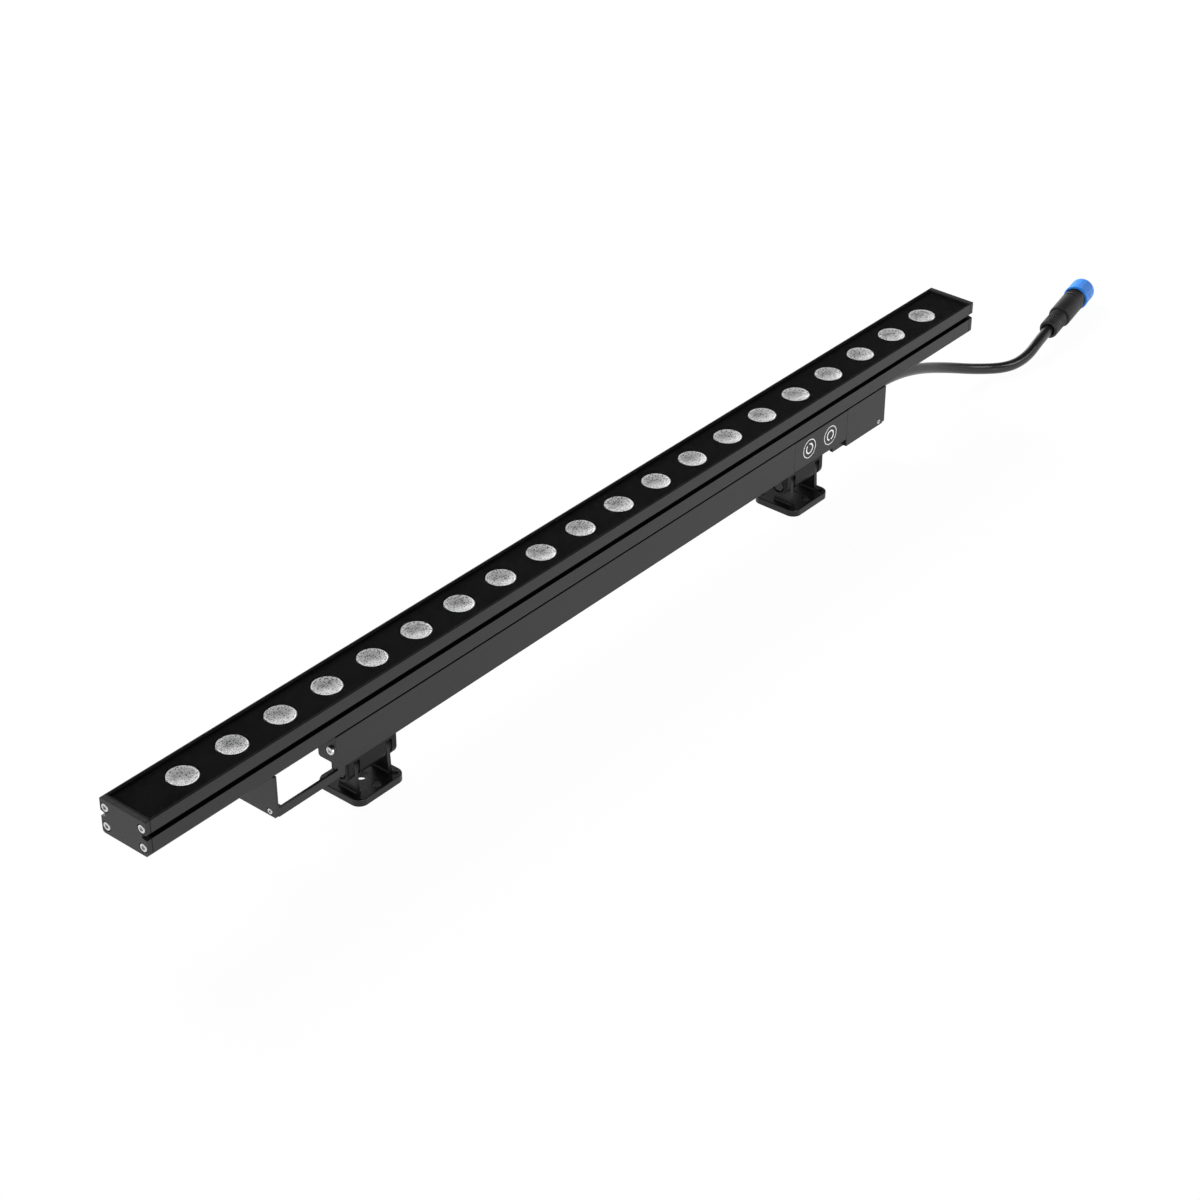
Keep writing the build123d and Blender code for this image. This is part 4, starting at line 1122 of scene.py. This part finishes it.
@dataclass
class Dressing:
    """Finishes of the CAD nodes that stay in view."""

    coat: tuple[str, ...] = (
        "end_cap_left", "end_cap_right", "channel_top", "channel_front", "channel_back",
        "channel_blocks", "bulkhead_left", "bulkhead_right", "end_plate_left", "end_plate_right",
        "rail_left_front", "rail_left_back", "rail_right_front", "rail_right_back", "service_cover",
        "junction_cover_front", "junction_cover_back")
    cast: tuple[str, ...] = ("bracket_left", "bracket_right")
    blocks: tuple[str, ...] = ("hinge_block_left", "hinge_block_right")
    silicone: tuple[str, ...] = ("glass_seal", "end_gasket_left", "end_gasket_right", "lamp_grommet")
    steel: tuple[str, ...] = (
        "channel_screws", "end_plate_screws", "hinge_screws_left", "hinge_screws_right")
    pivots: tuple[str, ...] = (
        "pivot_bolt_left", "pivot_bolt_right", "pivot_nut_left", "pivot_nut_right", "pivot_washers_left",
        "pivot_washers_right")
    moulded: tuple[str, ...] = ("cable_gland", "gland_nut")
    sheath: tuple[str, ...] = ("inner_lead", "lead_wires", "led_feed_wires")
    resist: tuple[str, ...] = ("led_board_left", "led_board_right", "driver_board", "board_jumper")

    def build(self) -> None:
        """Puts each node's finish on it."""
        singles = (("lamp_housing", GROOVE_PAINTED_SHADE_COAT), ("front_glass", PANE), ("lens_frame", PRINT),
                   ("led_chips", PHOSPHOR), ("driver_parts", DRIVER), ("contact_pins", PLATED))
        groups = ((self.coat, COAT), (self.cast, CAST), (self.blocks, HINGE_BLOCK_PAINTED_SHADE), (self.silicone, SILICONE),
                  (self.steel, STEEL), (self.pivots, BLACKED), (self.moulded, MOULDED),
                  (self.sheath, SHEATH), (self.resist, RESIST))
        pairs = list(singles) + [(node, finish) for nodes, finish in groups for node in nodes]
        for node, finish in pairs:
            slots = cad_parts[node].data.materials
            slots.clear()
            slots.append(finish.material())
        LOG.info("%d nodes finished", len(pairs))


def main() -> None:
    """Builds the studio and every sub-assembly."""
    logging.basicConfig(level=logging.INFO, format="%(name)s: %(message)s")
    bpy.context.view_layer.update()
    Studio().build()
    SupplyLead().build()
    placer = Placer()
    LensRow().build(placer)
    Fasteners().build(placer)
    CoverMarks().build()
    Dressing().build()


if __name__ == "__main__":
    main()
